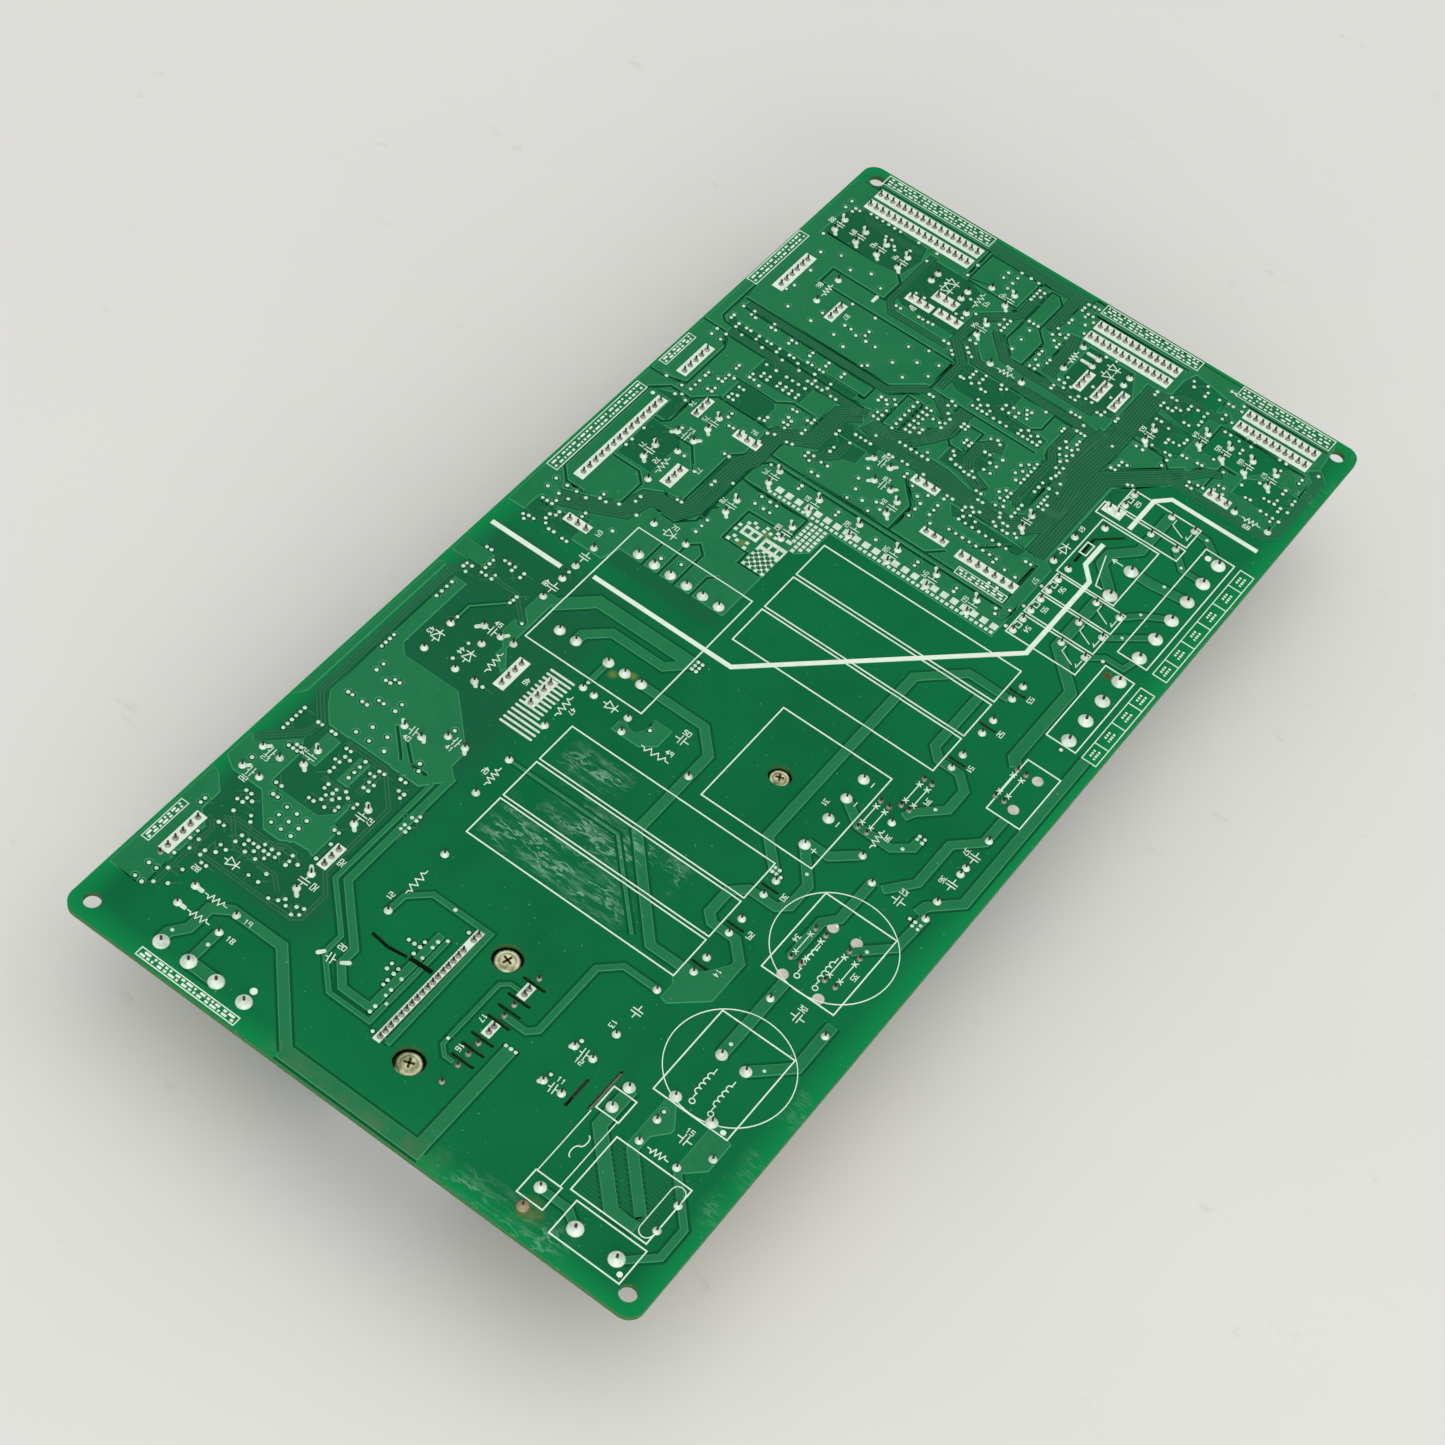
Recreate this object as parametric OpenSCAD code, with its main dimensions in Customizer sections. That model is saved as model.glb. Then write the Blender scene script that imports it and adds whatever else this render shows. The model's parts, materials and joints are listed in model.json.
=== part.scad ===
// Refrigerator control board, lying on its tallest parts with the solder side up.
// Places are read from the board's corner nearest the AC inlet, x along the long side, y along the short one.

/* [Board] */
// Length of the laminate
board_l = 322; // [318:1:340]
// Width of the laminate
board_w = 158; // [156:1:170]
// Thickness of the laminate
board_t = 1.6; // [1:0.1:2.4]
// Radius of the board's corners
corner_r = 4; // [1:0.5:6]
// Diameter of the corner mounting holes
mount_d = 4.2; // [3:0.1:5]
// Distance of the mounting holes from the edges
mount_inset = 5; // [4:0.5:6]
// Width of the insulation slots
slot_w = 0.9; // [0.5:0.1:1.2]
// Height of the board's underside above the surface it lies on
stand_h = 35; // [33:1:45]
// Thickness of the printed legend
legend_t = 0.1; // [0.05:0.05:0.2]
// Width of the printed outlines
legend_w = 0.6; // [0.3:0.1:0.8]
// Width of the printed isolation line
isolation_w = 1.3; // [0.8:0.1:2]
// Gap between the print and the solder joints
print_gap = 0.75; // [0.7:0.05:1]

/* [Solder joints] */
// Radius of a power joint
power_joint_r = 1.95; // [1.4:0.05:2.2]
// Height of a power joint
power_joint_h = 1.9; // [1:0.1:3]
// Radius of a component joint
lead_joint_r = 1.05; // [0.7:0.05:1.2]
// Height of a component joint
lead_joint_h = 1.4; // [0.8:0.1:2.5]
// Radius of a header joint
pin_joint_r = 0.75; // [0.5:0.05:0.85]
// Height of a header joint
pin_joint_h = 1.2; // [0.6:0.1:2]

/* [Power module] */
// Length of the module body
module_l = 39; // [38:0.5:44]
// Width of the module body
module_w = 14.4; // [12:0.2:15]
// Thickness of the module body
module_t = 5.5; // [4:0.1:7]
// Gap between board and module
module_gap = 2; // [1.6:0.1:4]
// Length of the module's heat sink
module_sink_l = 53; // [44:1:60]
// Width of the module's heat sink
module_sink_w = 37; // [26:1:40]
// Length of the heat sink's base at each end of the module that has no fins
module_sink_end = 9.6; // [8:0.2:12]
// Number of fins of the module's heat sink
module_fins = 9; // [5:1:11]
// Diameter of the access holes over the module's screws
module_access_d = 7.6; // [6.6:0.1:8]
// Diameter of the module's screw heads
module_head_d = 6.1; // [5:0.1:6.4]

/* [Bridge rectifier] */
// Length of the rectifier body
bridge_l = 30; // [27:0.5:32]
// Width of the rectifier body
bridge_w = 20; // [16:0.5:21]
// Thickness of the rectifier body
bridge_t = 4.6; // [3.5:0.1:6]
// Length of the rectifier's heat sink
bridge_sink_l = 33.4; // [30:0.2:34]
// Width of the rectifier's heat sink
bridge_sink_w = 23.6; // [20:0.2:24]
// Number of fins of the rectifier's heat sink
bridge_fins = 6; // [3:1:9]
// Diameter of the access hole over the rectifier's screw
bridge_access_d = 6; // [5.4:0.1:7]
// Diameter of the rectifier's screw head
bridge_head_d = 5; // [4.4:0.1:5.2]

/* [Heat sinks and screws] */
// Thickness of the heat sinks' base
sink_base = 5; // [4:0.5:7]
// Thickness of the fins
fin_t = 1.6; // [1:0.1:2.2]
// Diameter of the screw shanks
screw_d = 3; // [2.5:0.1:3.5]
// Height of the screw heads
head_h = 2.2; // [1.4:0.1:2.4]

/* [Bulk capacitors] */
// Diameter of a can
can_d = 12.3; // [10:0.1:13]
// Length of a can
can_l = 56; // [40:1:58]
// Gap between neighbouring cans
can_gap = 1.3; // [0.6:0.1:1.8]
// Distance between a can's leads
can_pitch = 5; // [4:0.1:7.5]

/* [Transformer] */
// Length of the ferrite core
core_l = 45.6; // [42:0.2:48]
// Width of the ferrite core
core_w = 34.8; // [32:0.2:38]
// Height of the ferrite core
core_t = 12; // [9:0.5:14]
// Width of the core's centre leg
centre_leg_w = 10; // [8:0.5:11]
// Width of the core's outer legs
outer_leg_w = 4.6; // [4:0.2:5.5]
// Thickness of the core's end plates
core_end_t = 5.2; // [4:0.2:5.6]
// Thickness of the bobbin's walls
bobbin_wall = 1.2; // [0.8:0.1:1.6]
// Height of the bobbin's pin rails
rail_h = 5.5; // [4:0.5:7]
// Thickness of the winding on the barrel
winding_t = 5; // [3:0.2:5.4]

/* [Line choke] */
// Outer diameter of the toroid core
toroid_od = 25; // [22:0.5:26]
// Inner diameter of the toroid core
toroid_id = 14; // [12:0.5:16]
// Height of the toroid core
toroid_h = 11; // [8:0.5:14]
// Thickness of the choke's wire layer
choke_wire_t = 1.6; // [1:0.1:2]
// Thickness of the choke's base
choke_base_t = 2.4; // [1.6:0.2:4]

/* [Relays] */
// Width of a slim relay
slim_relay_w = 7.3; // [5.6:0.1:8]
// Length of a slim relay
slim_relay_l = 20.2; // [20:0.1:22]
// Height of a slim relay
slim_relay_h = 15; // [10:0.5:20]
// Width of the power relay
power_relay_w = 22.3; // [21:0.1:24]
// Length of the power relay
power_relay_l = 16.8; // [15:0.1:18]
// Height of the power relay
power_relay_h = 20; // [15:0.5:25]
// Gap between neighbouring relays
relay_gap = 1.1; // [0.6:0.1:2]

/* [Connectors] */
// Pitch of the power connectors
power_pitch = 7.9; // [7:0.1:8.4]
// Pitch of the single-row headers
header_pitch = 2.5; // [2:0.05:2.6]
// Pitch along the two-row headers
dual_pitch = 2; // [1.8:0.05:2.1]
// Distance between the rows of the two-row headers
dual_row_gap = 5.2; // [5:0.1:6]
// Height of the two-row headers
dual_h = 9.5; // [8:0.5:14]
// Wall thickness of the connector housings
housing_wall = 1.1; // [0.8:0.1:1.4]
// Height of the connector floors
housing_floor = 3; // [2:0.1:4]
// Height of the connectors' locking walls
lock_h = 11; // [8:0.5:15]

/* [Small parts] */
// Diameter of the lead wires
wire_d = 0.7; // [0.5:0.05:0.9]
// Diameter of the fuse's end caps
fuse_d = 6.3; // [5:0.1:6.5]
// Length of the fuse
fuse_l = 32; // [30:0.5:34]
// Height of the radial electrolytic capacitors
radial_h = 12; // [8:0.5:20]

/* [Hidden] */
$fn = 40;

// Shared values
top_z = stand_h + board_t;
fit = 0.15;
lift = 0.3;
cut = 1;
screw_hole_gap = 0.1;

// Rows of places
function row(p, step, n) = [for (i = [0 : n - 1]) p + i * step];
function mid(a, b) = (a + b) / 2;
function shifted(list, p) = [for (q = list) q + p];

// Places of the main parts
module_at = [35.7, 74.4];
module_screw_x = 17.15;
module_screws_at = [module_at - [module_screw_x, 0], module_at + [module_screw_x, 0]];
module_row_y = 8.6;
module_upper_x = concat([for (i = [0 : 16]) 1.8 * i - 16.6], [15.8, 17.6]);
module_lower_x = [-16.7, -11.3, -7.7, -4.2, -0.5, 1.3, 4.9, 8.5, 12.1, 13.8, 17.4];
module_slot_x = [-9.7, -6.1, -2.7, 2.9, 6.6, 10.2, 15.6];
module_slot_l = 5.5;
module_pins = concat([for (x = module_upper_x) module_at + [x, module_row_y]],
    [for (x = module_lower_x) module_at + [x, -module_row_y]]);
bridge_at = [134.2, 55.6];
bridge_screw_at = bridge_at + [0, 1.5];
bridge_pin_x = [-12.4, -2.6, 4.9, 12.2];
bridge_row_y = 14.2;
bridge_pins = [for (x = bridge_pin_x) bridge_at + [x, -bridge_row_y]];
can_step = can_d + can_gap;
can_lead_gap = 4.2;
cans_at = concat(row([79.5, 40.7], [can_step, 0], 3), row([165.8, 27.4], [can_step, 0], 3));
can_pins = [for (p = cans_at) for (s = [-1, 1]) p + [s * can_pitch / 2, 0]];
can_slot_l = 4.1;
trafo_at = [149.5, 109.9];
trafo_pin_x = 15.85;
trafo_pin_step = 4.9;
trafo_pins = concat([for (i = [0 : 5]) trafo_at + [trafo_pin_x, (i - 2.5) * trafo_pin_step]],
    [for (i = [0, 1, 2, 4, 5]) trafo_at + [-trafo_pin_x, (i - 2.5) * trafo_pin_step]]);
choke_at = [62.4, 20];
choke_pins = [[48.8, 25], [48.7, 15.1], [63.8, 23.4], [63.8, 16.8]];
fuse_at = [25.2, 34];
fuse_clip_x = 12.6;
fuse_pins = [for (s = [-1, 1]) fuse_at + [s * fuse_clip_x, 0]];
fuse_end_pads = [[6.7, 34.1], [44, 34]];
varistor_pins = [[20.3, 8.9], [27.9, 8.9]];
film_at = [[41.6, 17.2], [82.6, 16], [123.4, 16]];
film_pitch = 15;
film_inner_pitch = 7.6;
snubber_at = [60.4, 44.2];
disc_at = [[134.1, 9, 10], [146.4, 9, 10], [143, 131.5, 7.6], [155.8, 131.5, 7.4]];
slim_step = slim_relay_w + relay_gap;
slim_1_at = [211.05, 29.8];
power_relay_at = [slim_1_at[0] + 2 * slim_step + slim_relay_w / 2 + relay_gap + power_relay_w / 2, 32.3];
ssr_w = 4.7;
ssr_l = 24.2;
ssr_h = 20;
ssr_at = [power_relay_at[0] + power_relay_w / 2 + relay_gap + ssr_w / 2, 31.3];
slim_4_at = [ssr_at[0] + ssr_w / 2 + relay_gap + slim_relay_w / 2, 29.8];
slim_relays_at = concat(row(slim_1_at, [slim_step, 0], 3), [slim_4_at]);
slim_pins = [[-2.35, 9], [2.35, 9], [2.45, -2.3], [2.45, -9.2]];
power_relay_coil = [[-8.9, 6.4], [9.1, 6.4]];
power_relay_contacts = [[-9, -6.2], [1.4, -6.2]];
ssr_pins = [[1.1, 10], [1.1, 7.5], [0.95, -2.6], [0.95, -10.1]];
dip_at = [115.7, 118.4];
dip_pitch = 2.54;
dip_row_y = 4.35;
dip_pins = [for (s = [-1, 1]) for (i = [0 : 3]) dip_at + [(i - 1.5) * dip_pitch, s * dip_row_y]];

// Power connectors: first pin, direction of the row, number of pins, pitch
inlet_pitch = 10.9;
power_end = 2.1;
inlet_end = 3.8;
inlet_at = [9.6, 22.4];
compressor_at = [6.7, 134.5];
load_4_at = [189.2, 10.1];
load_6_at = [222.7, 10.1];
inlet_pins = row(inlet_at, [0, -inlet_pitch], 2);
compressor_pins = row(compressor_at, [0, -power_pitch], 4);
load_4_pins = row(load_4_at, [power_pitch, 0], 4);
load_6_pins = row(load_6_at, [power_pitch, 0], 6);

// Headers, placed from the edge that they stand along
dual_at_x = board_l - 11.6;
dual_end = 1.8;
dual_side = 2.05;
header_34_at = [dual_at_x, 133];
header_26_at = [dual_at_x, 65];
header_22_at = [dual_at_x, 20];
header_14_at = [210.1, board_w - 9.5];
header_6_at = [36.5, board_w - 7.7];
header_6_wide_at = [278.4, board_w - 8.4];
header_5_at = [232.8, board_w - 7.9];
header_7_at = [220, 46.6];
function dual_pins(p, n) = [for (s = [-1, 1]) for (i = [0 : n - 1])
    p + [s * dual_row_gap / 2, (i - (n - 1) / 2) * dual_pitch]];
function back_row(p, n) = row(p, [-header_pitch, 0], n);
two_row_pins = concat(dual_pins(header_34_at, 17), dual_pins(header_26_at, 13), dual_pins(header_22_at, 11));
one_row_pins = concat(back_row(header_14_at, 14), back_row(header_6_at, 6), back_row(header_6_wide_at, 6),
    back_row(header_5_at, 5), row(header_7_at, [0, header_pitch], 7));

// Axial parts: the two leads of each
resistors_at = [[[35, 24.6], [35, 14.5]], [[45.2, 102.3], [65.2, 102.3]], [[16.6, 138.6], [16.6, 126.6]],
    [[22.4, 138.6], [22.4, 126.6]], [[119.4, 92.8], [119.4, 73.2]], [[108, 127.9], [122.9, 127.9]],
    [[83.1, 107.6], [95.5, 107.6]], [[108.9, 107.5], [123.7, 107.5]], [[128.2, 29.4], [140.5, 29.4]],
    [[186.6, 135], [199.2, 135]], [[291.7, 106.7], [304.5, 106.7]]];
diodes_at = [[[107.9, 143], [117.9, 143]], [[107.9, 133.6], [117.9, 133.6]], [[123.6, 104.2], [123.6, 94.1]],
    [[234.7, 43], [245, 43]], [[280.9, 16.1], [280.9, 6]], [[293, 76.4], [303.2, 76.4]], [[299, 71], [299, 61.1]],
    [[302.3, 71], [302.3, 61.1]], [[280.7, 91.9], [280.7, 82]], [[267.5, 139.1], [277.7, 139.1]],
    [[295.4, 120.5], [295.4, 110.8]], [[298.7, 120.5], [298.7, 110.8]], [[175.9, 125.2], [175.9, 115.4]]];
jumpers_at = [[[94.6, 26.3], [104.5, 26.3]], [[94.6, 14], [104.5, 14]], [[134.1, 34.8], [143.9, 34.8]],
    [[134.1, 32.3], [143.7, 32.3]], [[146.1, 30.5], [156.1, 30.5]], [[146, 28.2], [156, 28.2]],
    [[163.4, 14.9], [173.4, 14.9]], [[163.4, 12.5], [173.4, 12.5]], [[94.6, 23.4], [104.5, 23.4]],
    [[94.6, 16.9], [104.5, 16.9]]];

// Radial parts: centre, turn of the lead pair, diameter
radial_pitch = 5;
radials_at = [[33.4, 46.9, 90, 9.5], [44.6, 46.9, 90, 9.5], [53.9, 149.9, 90, 6.3], [61, 149.9, 90, 6.3],
    [39, 121.4, 0, 8], [60.7, 123, 0, 8], [65.8, 142.2, 0, 8], [87, 129.4, 90, 8], [91.3, 119.9, 90, 8],
    [122.6, 134, 90, 8], [208, 98.7, 0, 10], [208.3, 86.5, 0, 10], [208, 74.6, 0, 10], [208, 62.8, 0, 10],
    [208, 50.7, 0, 10], [196, 98.7, 0, 8], [231.8, 93.8, 90, 6.3], [225.6, 89.5, 90, 6.3], [221, 83.5, 0, 6.3],
    [240.9, 55.1, 0, 6.3], [194.6, 140.5, 0, 6.3], [204.7, 136.5, 90, 6.3], [209, 111.7, 0, 8],
    [193.7, 114.2, 0, 8]];
ceramics_at = [[213, 133.7], [288.5, 46.6], [297.1, 35], [297.1, 28], [297.1, 21.1], [297.1, 14], [289.6, 100.4],
    [303.9, 100.5], [295.6, 150.8], [295.6, 143.9], [295.6, 137], [295.6, 130]];
transistors_at = [[48, 121, 0], [192, 130.8, 0], [267.6, 133, 0], [215.4, 139.1, 0], [292.7, 70, 0],
    [292.7, 64.5, 0], [292.7, 59, 0], [163, 139.2, 90], [214.3, 124, 90], [233.4, 81.3, 90], [220.6, 70.2, 90],
    [286.2, 118.4, 90], [286.7, 109.2, 90], [291.7, 113.4, 90], [281.7, 21.5, 90]];
transistor_pitch = 2.5;
controllers_at = [[255, 81], [71.5, 130.5]];
drivers_at = [[237, 129], [249, 142], [274, 91], [48.5, 134.5], [136, 141.5]];
chips_at = concat(row([243, 66], [2.6, 0], 8), row([243, 96.5], [2.6, 0], 8), row([66, 116.4], [2.6, 0], 5),
    row([286, 31], [0, -3], 6), row([284.5, 126], [0, 4], 6), row([160.5, 147], [2.4, 0], 5));

function turned(p, a, s) = [p[0], p[1]] + s * [cos(a), sin(a)];
function pair_ends(list) = [for (q = list) for (p = q) p];
radial_pins = [for (p = radials_at) for (s = [-1, 1]) turned(p, p[2], s * radial_pitch / 2)];
ceramic_pins = [for (p = ceramics_at) for (s = [-1, 1]) p + [s * radial_pitch / 2, 0]];
transistor_pins = [for (p = transistors_at) for (i = [-1 : 1]) turned(p, p[2], i * transistor_pitch)];
disc_pins = [for (p = disc_at) for (s = [-1, 1]) [p[0] + s * p[2] / 2, p[1]]];
film_pins = concat([for (p = film_at) for (s = [-1, 1]) p + [0, s * film_pitch / 2]],
    [for (s = [-1, 1]) snubber_at + [s * film_pitch / 2, 0]]);
slim_relay_pins = [for (p = slim_relays_at) for (q = slim_pins) p + q];
relay_small_pins = concat(slim_relay_pins, shifted(power_relay_coil, power_relay_at), shifted(ssr_pins, ssr_at));

power_joints_at = concat(inlet_pins, compressor_pins, load_4_pins, load_6_pins,
    shifted(power_relay_contacts, power_relay_at));
trafo_joint_r = lead_joint_r * 1.4;
wide_joints_at = concat(trafo_pins, bridge_pins, choke_pins, fuse_pins, fuse_end_pads);
lead_joints_at = concat(can_pins, varistor_pins, film_pins, disc_pins, relay_small_pins,
    pair_ends(resistors_at), pair_ends(diodes_at), radial_pins, ceramic_pins);
small_joints_at = concat(module_pins, two_row_pins, one_row_pins, transistor_pins, dip_pins,
    pair_ends(jumpers_at));
flat_pads_at = [[89.7, 25.1], [89.6, 15.2], [107.4, 23.4], [107.4, 16.8], [162.9, 9.4], [173.8, 9.4]];
flat_pad_r = 1.4;

mount_holes_at = [for (x = [mount_inset, board_l - mount_inset]) for (y = [mount_inset, board_w - mount_inset])
    [x, y]];
slots = concat(
    [for (p = cans_at) [p - [0, can_slot_l / 2], p + [0, can_slot_l / 2]]],
    [for (x = module_slot_x) [module_at + [x, -module_row_y - module_slot_l / 2],
        module_at + [x, -module_row_y + module_slot_l / 2]]],
    [[[31.9, 42.1], [39.8, 42.1]], [[34.4, 37.6], [46.2, 37.6]], [[38.9, 90.2], [38.9, 86.2]],
     [power_relay_at + [-5.3, 6.6], power_relay_at + [4.2, 6.6]],
     [power_relay_at + [4.2, 6.6], power_relay_at + [9.7, 1.1]]]);

// Printed outlines: two opposite corners of each
outlines = concat(
    [for (p = cans_at) [p + [-can_d / 2, 2.9], p + [can_d / 2, can_l + 6]]],
    [for (p = slim_relays_at) [p - [slim_relay_w, slim_relay_l] / 2, p + [slim_relay_w, slim_relay_l] / 2]],
    [[power_relay_at - [power_relay_w, power_relay_l] / 2, power_relay_at + [power_relay_w, power_relay_l] / 2],
     [ssr_at - [ssr_w, ssr_l] / 2, ssr_at + [ssr_w, ssr_l] / 2],
     [trafo_at - [core_l, core_w] / 2, trafo_at + [core_l, core_w] / 2],
     [bridge_at - [16.8, 19.2], bridge_at + [16.8, 12.3]],
     [load_4_at - [power_end, 3.2], load_4_at + [3 * power_pitch + power_end, 5.4]],
     [load_6_at - [power_end, 3.2], load_6_at + [5 * power_pitch + power_end, 5.4]],
     [inlet_at + [-4.2, -inlet_pitch - inlet_end], inlet_at + [5.5, inlet_end]],
     [choke_at + [-15.1, -9.9], choke_at + [10.8, 9.9]], [[88.3, 10.2], [114.1, 30]], [[159.1, 5.3], [177.7, 14.7]],
     [[16.4, 8.8], [32.7, 28.8]]]);
rings_at = [choke_at, [103.2, 20]];
ring_r = 15;
isolation_line = [[152.4, 126.2], [152.4, 84.6], [204.9, 32.5], [235, 32.5], [239, 36.3], [248, 36.3]];
isolation_tail = [[256.8, 33.8], [269.7, 33.8], [273.2, 30], [273.2, 4.6]];

// Placing: on the solder side, and hung under the board with local z pointing away from it
module on_top(p) {
    translate([p[0] - board_l / 2, p[1] - board_w / 2, top_z]) children();
}

module hang(p, turn = 0) {
    translate([p[0] - board_l / 2, p[1] - board_w / 2, stand_h]) mirror([0, 0, 1]) rotate(turn) children();
}

module in_plan(p) {
    translate([p[0] - board_l / 2, p[1] - board_w / 2]) children();
}

// Flat shapes
module plate(size, r = 0) {
    if (r == 0) {
        square(size, center = true);
    } else {
        square([size[0] - 2 * r, size[1]], center = true);
        square([size[0], size[1] - 2 * r], center = true);
        for (sx = [-1, 1]) for (sy = [-1, 1])
            translate([sx * (size[0] / 2 - r), sy * (size[1] / 2 - r)]) circle(r);
    }
}

module bar(p, q, w) {
    in_plan(mid(p, q)) rotate(atan2(q[1] - p[1], q[0] - p[0])) square([norm(q - p), w], center = true);
    for (e = [p, q]) in_plan(e) circle(d = w);
}

function left_of(a, b) = [a[1] - b[1], b[0] - a[0]] / norm(b - a);
function mitre(line, i) = let (n = left_of(line[max(i - 1, 0)], line[max(i, 1)]),
    m = left_of(line[min(i, len(line) - 2)], line[min(i + 1, len(line) - 1)])) (n + m) / (1 + n * m);

module ribbon(line, w) {
    last = len(line) - 1;
    in_plan([0, 0]) polygon(concat([for (i = [0 : last]) line[i] + mitre(line, i) * w / 2],
        [for (i = [last : -1 : 0]) line[i] - mitre(line, i) * w / 2]));
}

module outline(p, q) {
    size = q - p;
    in_plan(mid(p, q)) difference() {
        square(size, center = true);
        square(size - 2 * [legend_w, legend_w], center = true);
    }
}

// Solids built on a flat shape, from local z0
module slab(size, z0 = 0, r = 0) {
    translate([0, 0, z0]) linear_extrude(size[2]) plate([size[0], size[1]], r);
}

module wire_post(p, h) {
    translate([p[0], p[1], 0]) cylinder(d = wire_d, h = h);
}

module joint(p, r, h) {
    profile = [[0, 0], [r, 0], [0.9 * r, 0.2 * h], [0.56 * r, 0.5 * h], [0.38 * r, 0.86 * h], [0.28 * r, h], [0, h]];
    on_top(p) rotate_extrude() polygon(profile);
}

// Laminate
module circuit_board() {
    color("seagreen") translate([0, 0, stand_h]) linear_extrude(board_t) difference() {
        plate([board_l, board_w], corner_r);
        for (p = mount_holes_at) in_plan(p) circle(d = mount_d);
        for (p = module_screws_at) in_plan(p) circle(d = module_access_d);
        in_plan(bridge_screw_at) circle(d = bridge_access_d);
        for (s = slots) bar(s[0], s[1], slot_w);
    }
}

module legend_print() {
    color("white") translate([0, 0, top_z]) linear_extrude(legend_t) difference() {
        union() {
            for (o = outlines) outline(o[0], o[1]);
            for (p = rings_at) in_plan(p) difference() {
                circle(ring_r);
                circle(ring_r - legend_w);
            }
            for (line = [isolation_line, isolation_tail]) ribbon(line, isolation_w);
        }
        for (p = power_joints_at) in_plan(p) circle(power_joint_r + print_gap);
        for (p = wide_joints_at) in_plan(p) circle(trafo_joint_r + print_gap);
        for (p = lead_joints_at) in_plan(p) circle(lead_joint_r + print_gap);
        for (p = flat_pads_at) in_plan(p) circle(flat_pad_r + print_gap);
        for (p = pair_ends(jumpers_at)) in_plan(p) circle(pin_joint_r + print_gap);
    }
}

module power_joints() {
    color("silver") {
        for (p = power_joints_at) joint(p, power_joint_r, power_joint_h);
        for (p = wide_joints_at) joint(p, trafo_joint_r, power_joint_h);
    }
}

module lead_joints() {
    color("silver") for (p = lead_joints_at) joint(p, lead_joint_r, lead_joint_h);
}

module header_joints() {
    color("silver") for (p = small_joints_at) joint(p, pin_joint_r, pin_joint_h);
}

module flat_pads() {
    color("silver") for (p = flat_pads_at) on_top(p) cylinder(r = flat_pad_r, h = legend_t);
}

// Screw: pan head with a cross recess above local z0, shank below it
module screw(p, head_d, z0, shank_l) {
    recess_w = head_d / 6;
    recess_l = head_d * 0.58;
    recess_t = head_h * 0.55;
    hang(p) translate([0, 0, z0]) {
        cylinder(d = screw_d, h = shank_l);
        difference() {
            mirror([0, 0, 1]) rotate_extrude() polygon([[0, 0], [head_d / 2, 0], [head_d / 2, head_h * 0.45],
                [head_d * 0.42, head_h * 0.8], [head_d * 0.26, head_h], [0, head_h]]);
            for (a = [0, 90]) rotate(a + 20) translate([0, 0, -head_h]) slab([recess_l, recess_w, recess_t]);
        }
    }
}

// Extruded heat sink: base against the part that it cools, fins down to the surface that the board lies on
module heat_sink(p, l, w, z0, fins, end, screws_at, hole_d) {
    fins_l = l - 2 * end - fin_t;
    difference() {
        hang(p) {
            slab([l, w, sink_base], z0);
            for (i = [0 : fins - 1])
                translate([fins_l * (i / (fins - 1) - 1 / 2), 0, 0]) slab([fin_t, w, stand_h - z0], z0);
        }
        for (q = screws_at) hang(q) translate([0, 0, z0 - cut]) cylinder(d = hole_d, h = sink_base * 0.8 + cut);
    }
}

module power_module() {
    lead_z = module_gap + module_t * 0.4;
    lead_t = 0.5;
    reach = module_row_y - module_w / 2;
    color("dimgray") difference() {
        hang(module_at) {
            slab([module_l, module_w, module_t], module_gap, 0.8);
            for (side = [[module_upper_x, 1], [module_lower_x, -1]]) for (x = side[0]) {
                translate([x, side[1] * (module_row_y - reach / 2), lead_z])
                    cube([wire_d, reach + lead_t, lead_t], center = true);
                translate([x, side[1] * module_row_y, lead_z / 2]) cube([wire_d, lead_t, lead_z], center = true);
            }
        }
        for (p = module_screws_at) hang(p) translate([0, 0, module_gap - cut])
            cylinder(d = screw_d + 2 * fit, h = module_t + 2 * cut);
    }
}

module module_heat_sink() {
    color("silver") heat_sink(module_at, module_sink_l, module_sink_w, module_gap + module_t, module_fins,
        module_sink_end, module_screws_at, screw_d + 2 * screw_hole_gap);
}

module module_screws() {
    color("khaki") for (p = module_screws_at) screw(p, module_head_d, module_gap, module_t + sink_base * 0.7);
}

module bridge_rectifier() {
    lead_z = module_gap + bridge_t / 2;
    lead_w = 1.2;
    lead_t = 0.8;
    reach = bridge_row_y - bridge_w / 2;
    color("dimgray") difference() {
        hang(bridge_at) {
            difference() {
                slab([bridge_l, bridge_w, bridge_t], module_gap, 0.6);
                translate([bridge_l / 2, bridge_w / 2, module_gap - cut]) rotate(45)
                    slab([4, 4, bridge_t + 2 * cut]);
            }
            for (x = bridge_pin_x) {
                translate([x, -bridge_row_y + reach / 2, lead_z])
                    cube([lead_w, reach + lead_t, lead_t], center = true);
                translate([x, -bridge_row_y, lead_z / 2]) cube([lead_w, lead_t, lead_z], center = true);
            }
        }
        hang(bridge_screw_at) translate([0, 0, module_gap - cut])
            cylinder(d = screw_d + 2 * fit, h = bridge_t + 2 * cut);
    }
}

module bridge_heat_sink() {
    color("silver") heat_sink(bridge_at, bridge_sink_l, bridge_sink_w, module_gap + bridge_t, bridge_fins, 0,
        [bridge_screw_at], screw_d + 2 * screw_hole_gap);
}

module bridge_screw() {
    color("khaki") screw(bridge_screw_at, bridge_head_d, module_gap, bridge_t + sink_base * 0.7);
}

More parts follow.
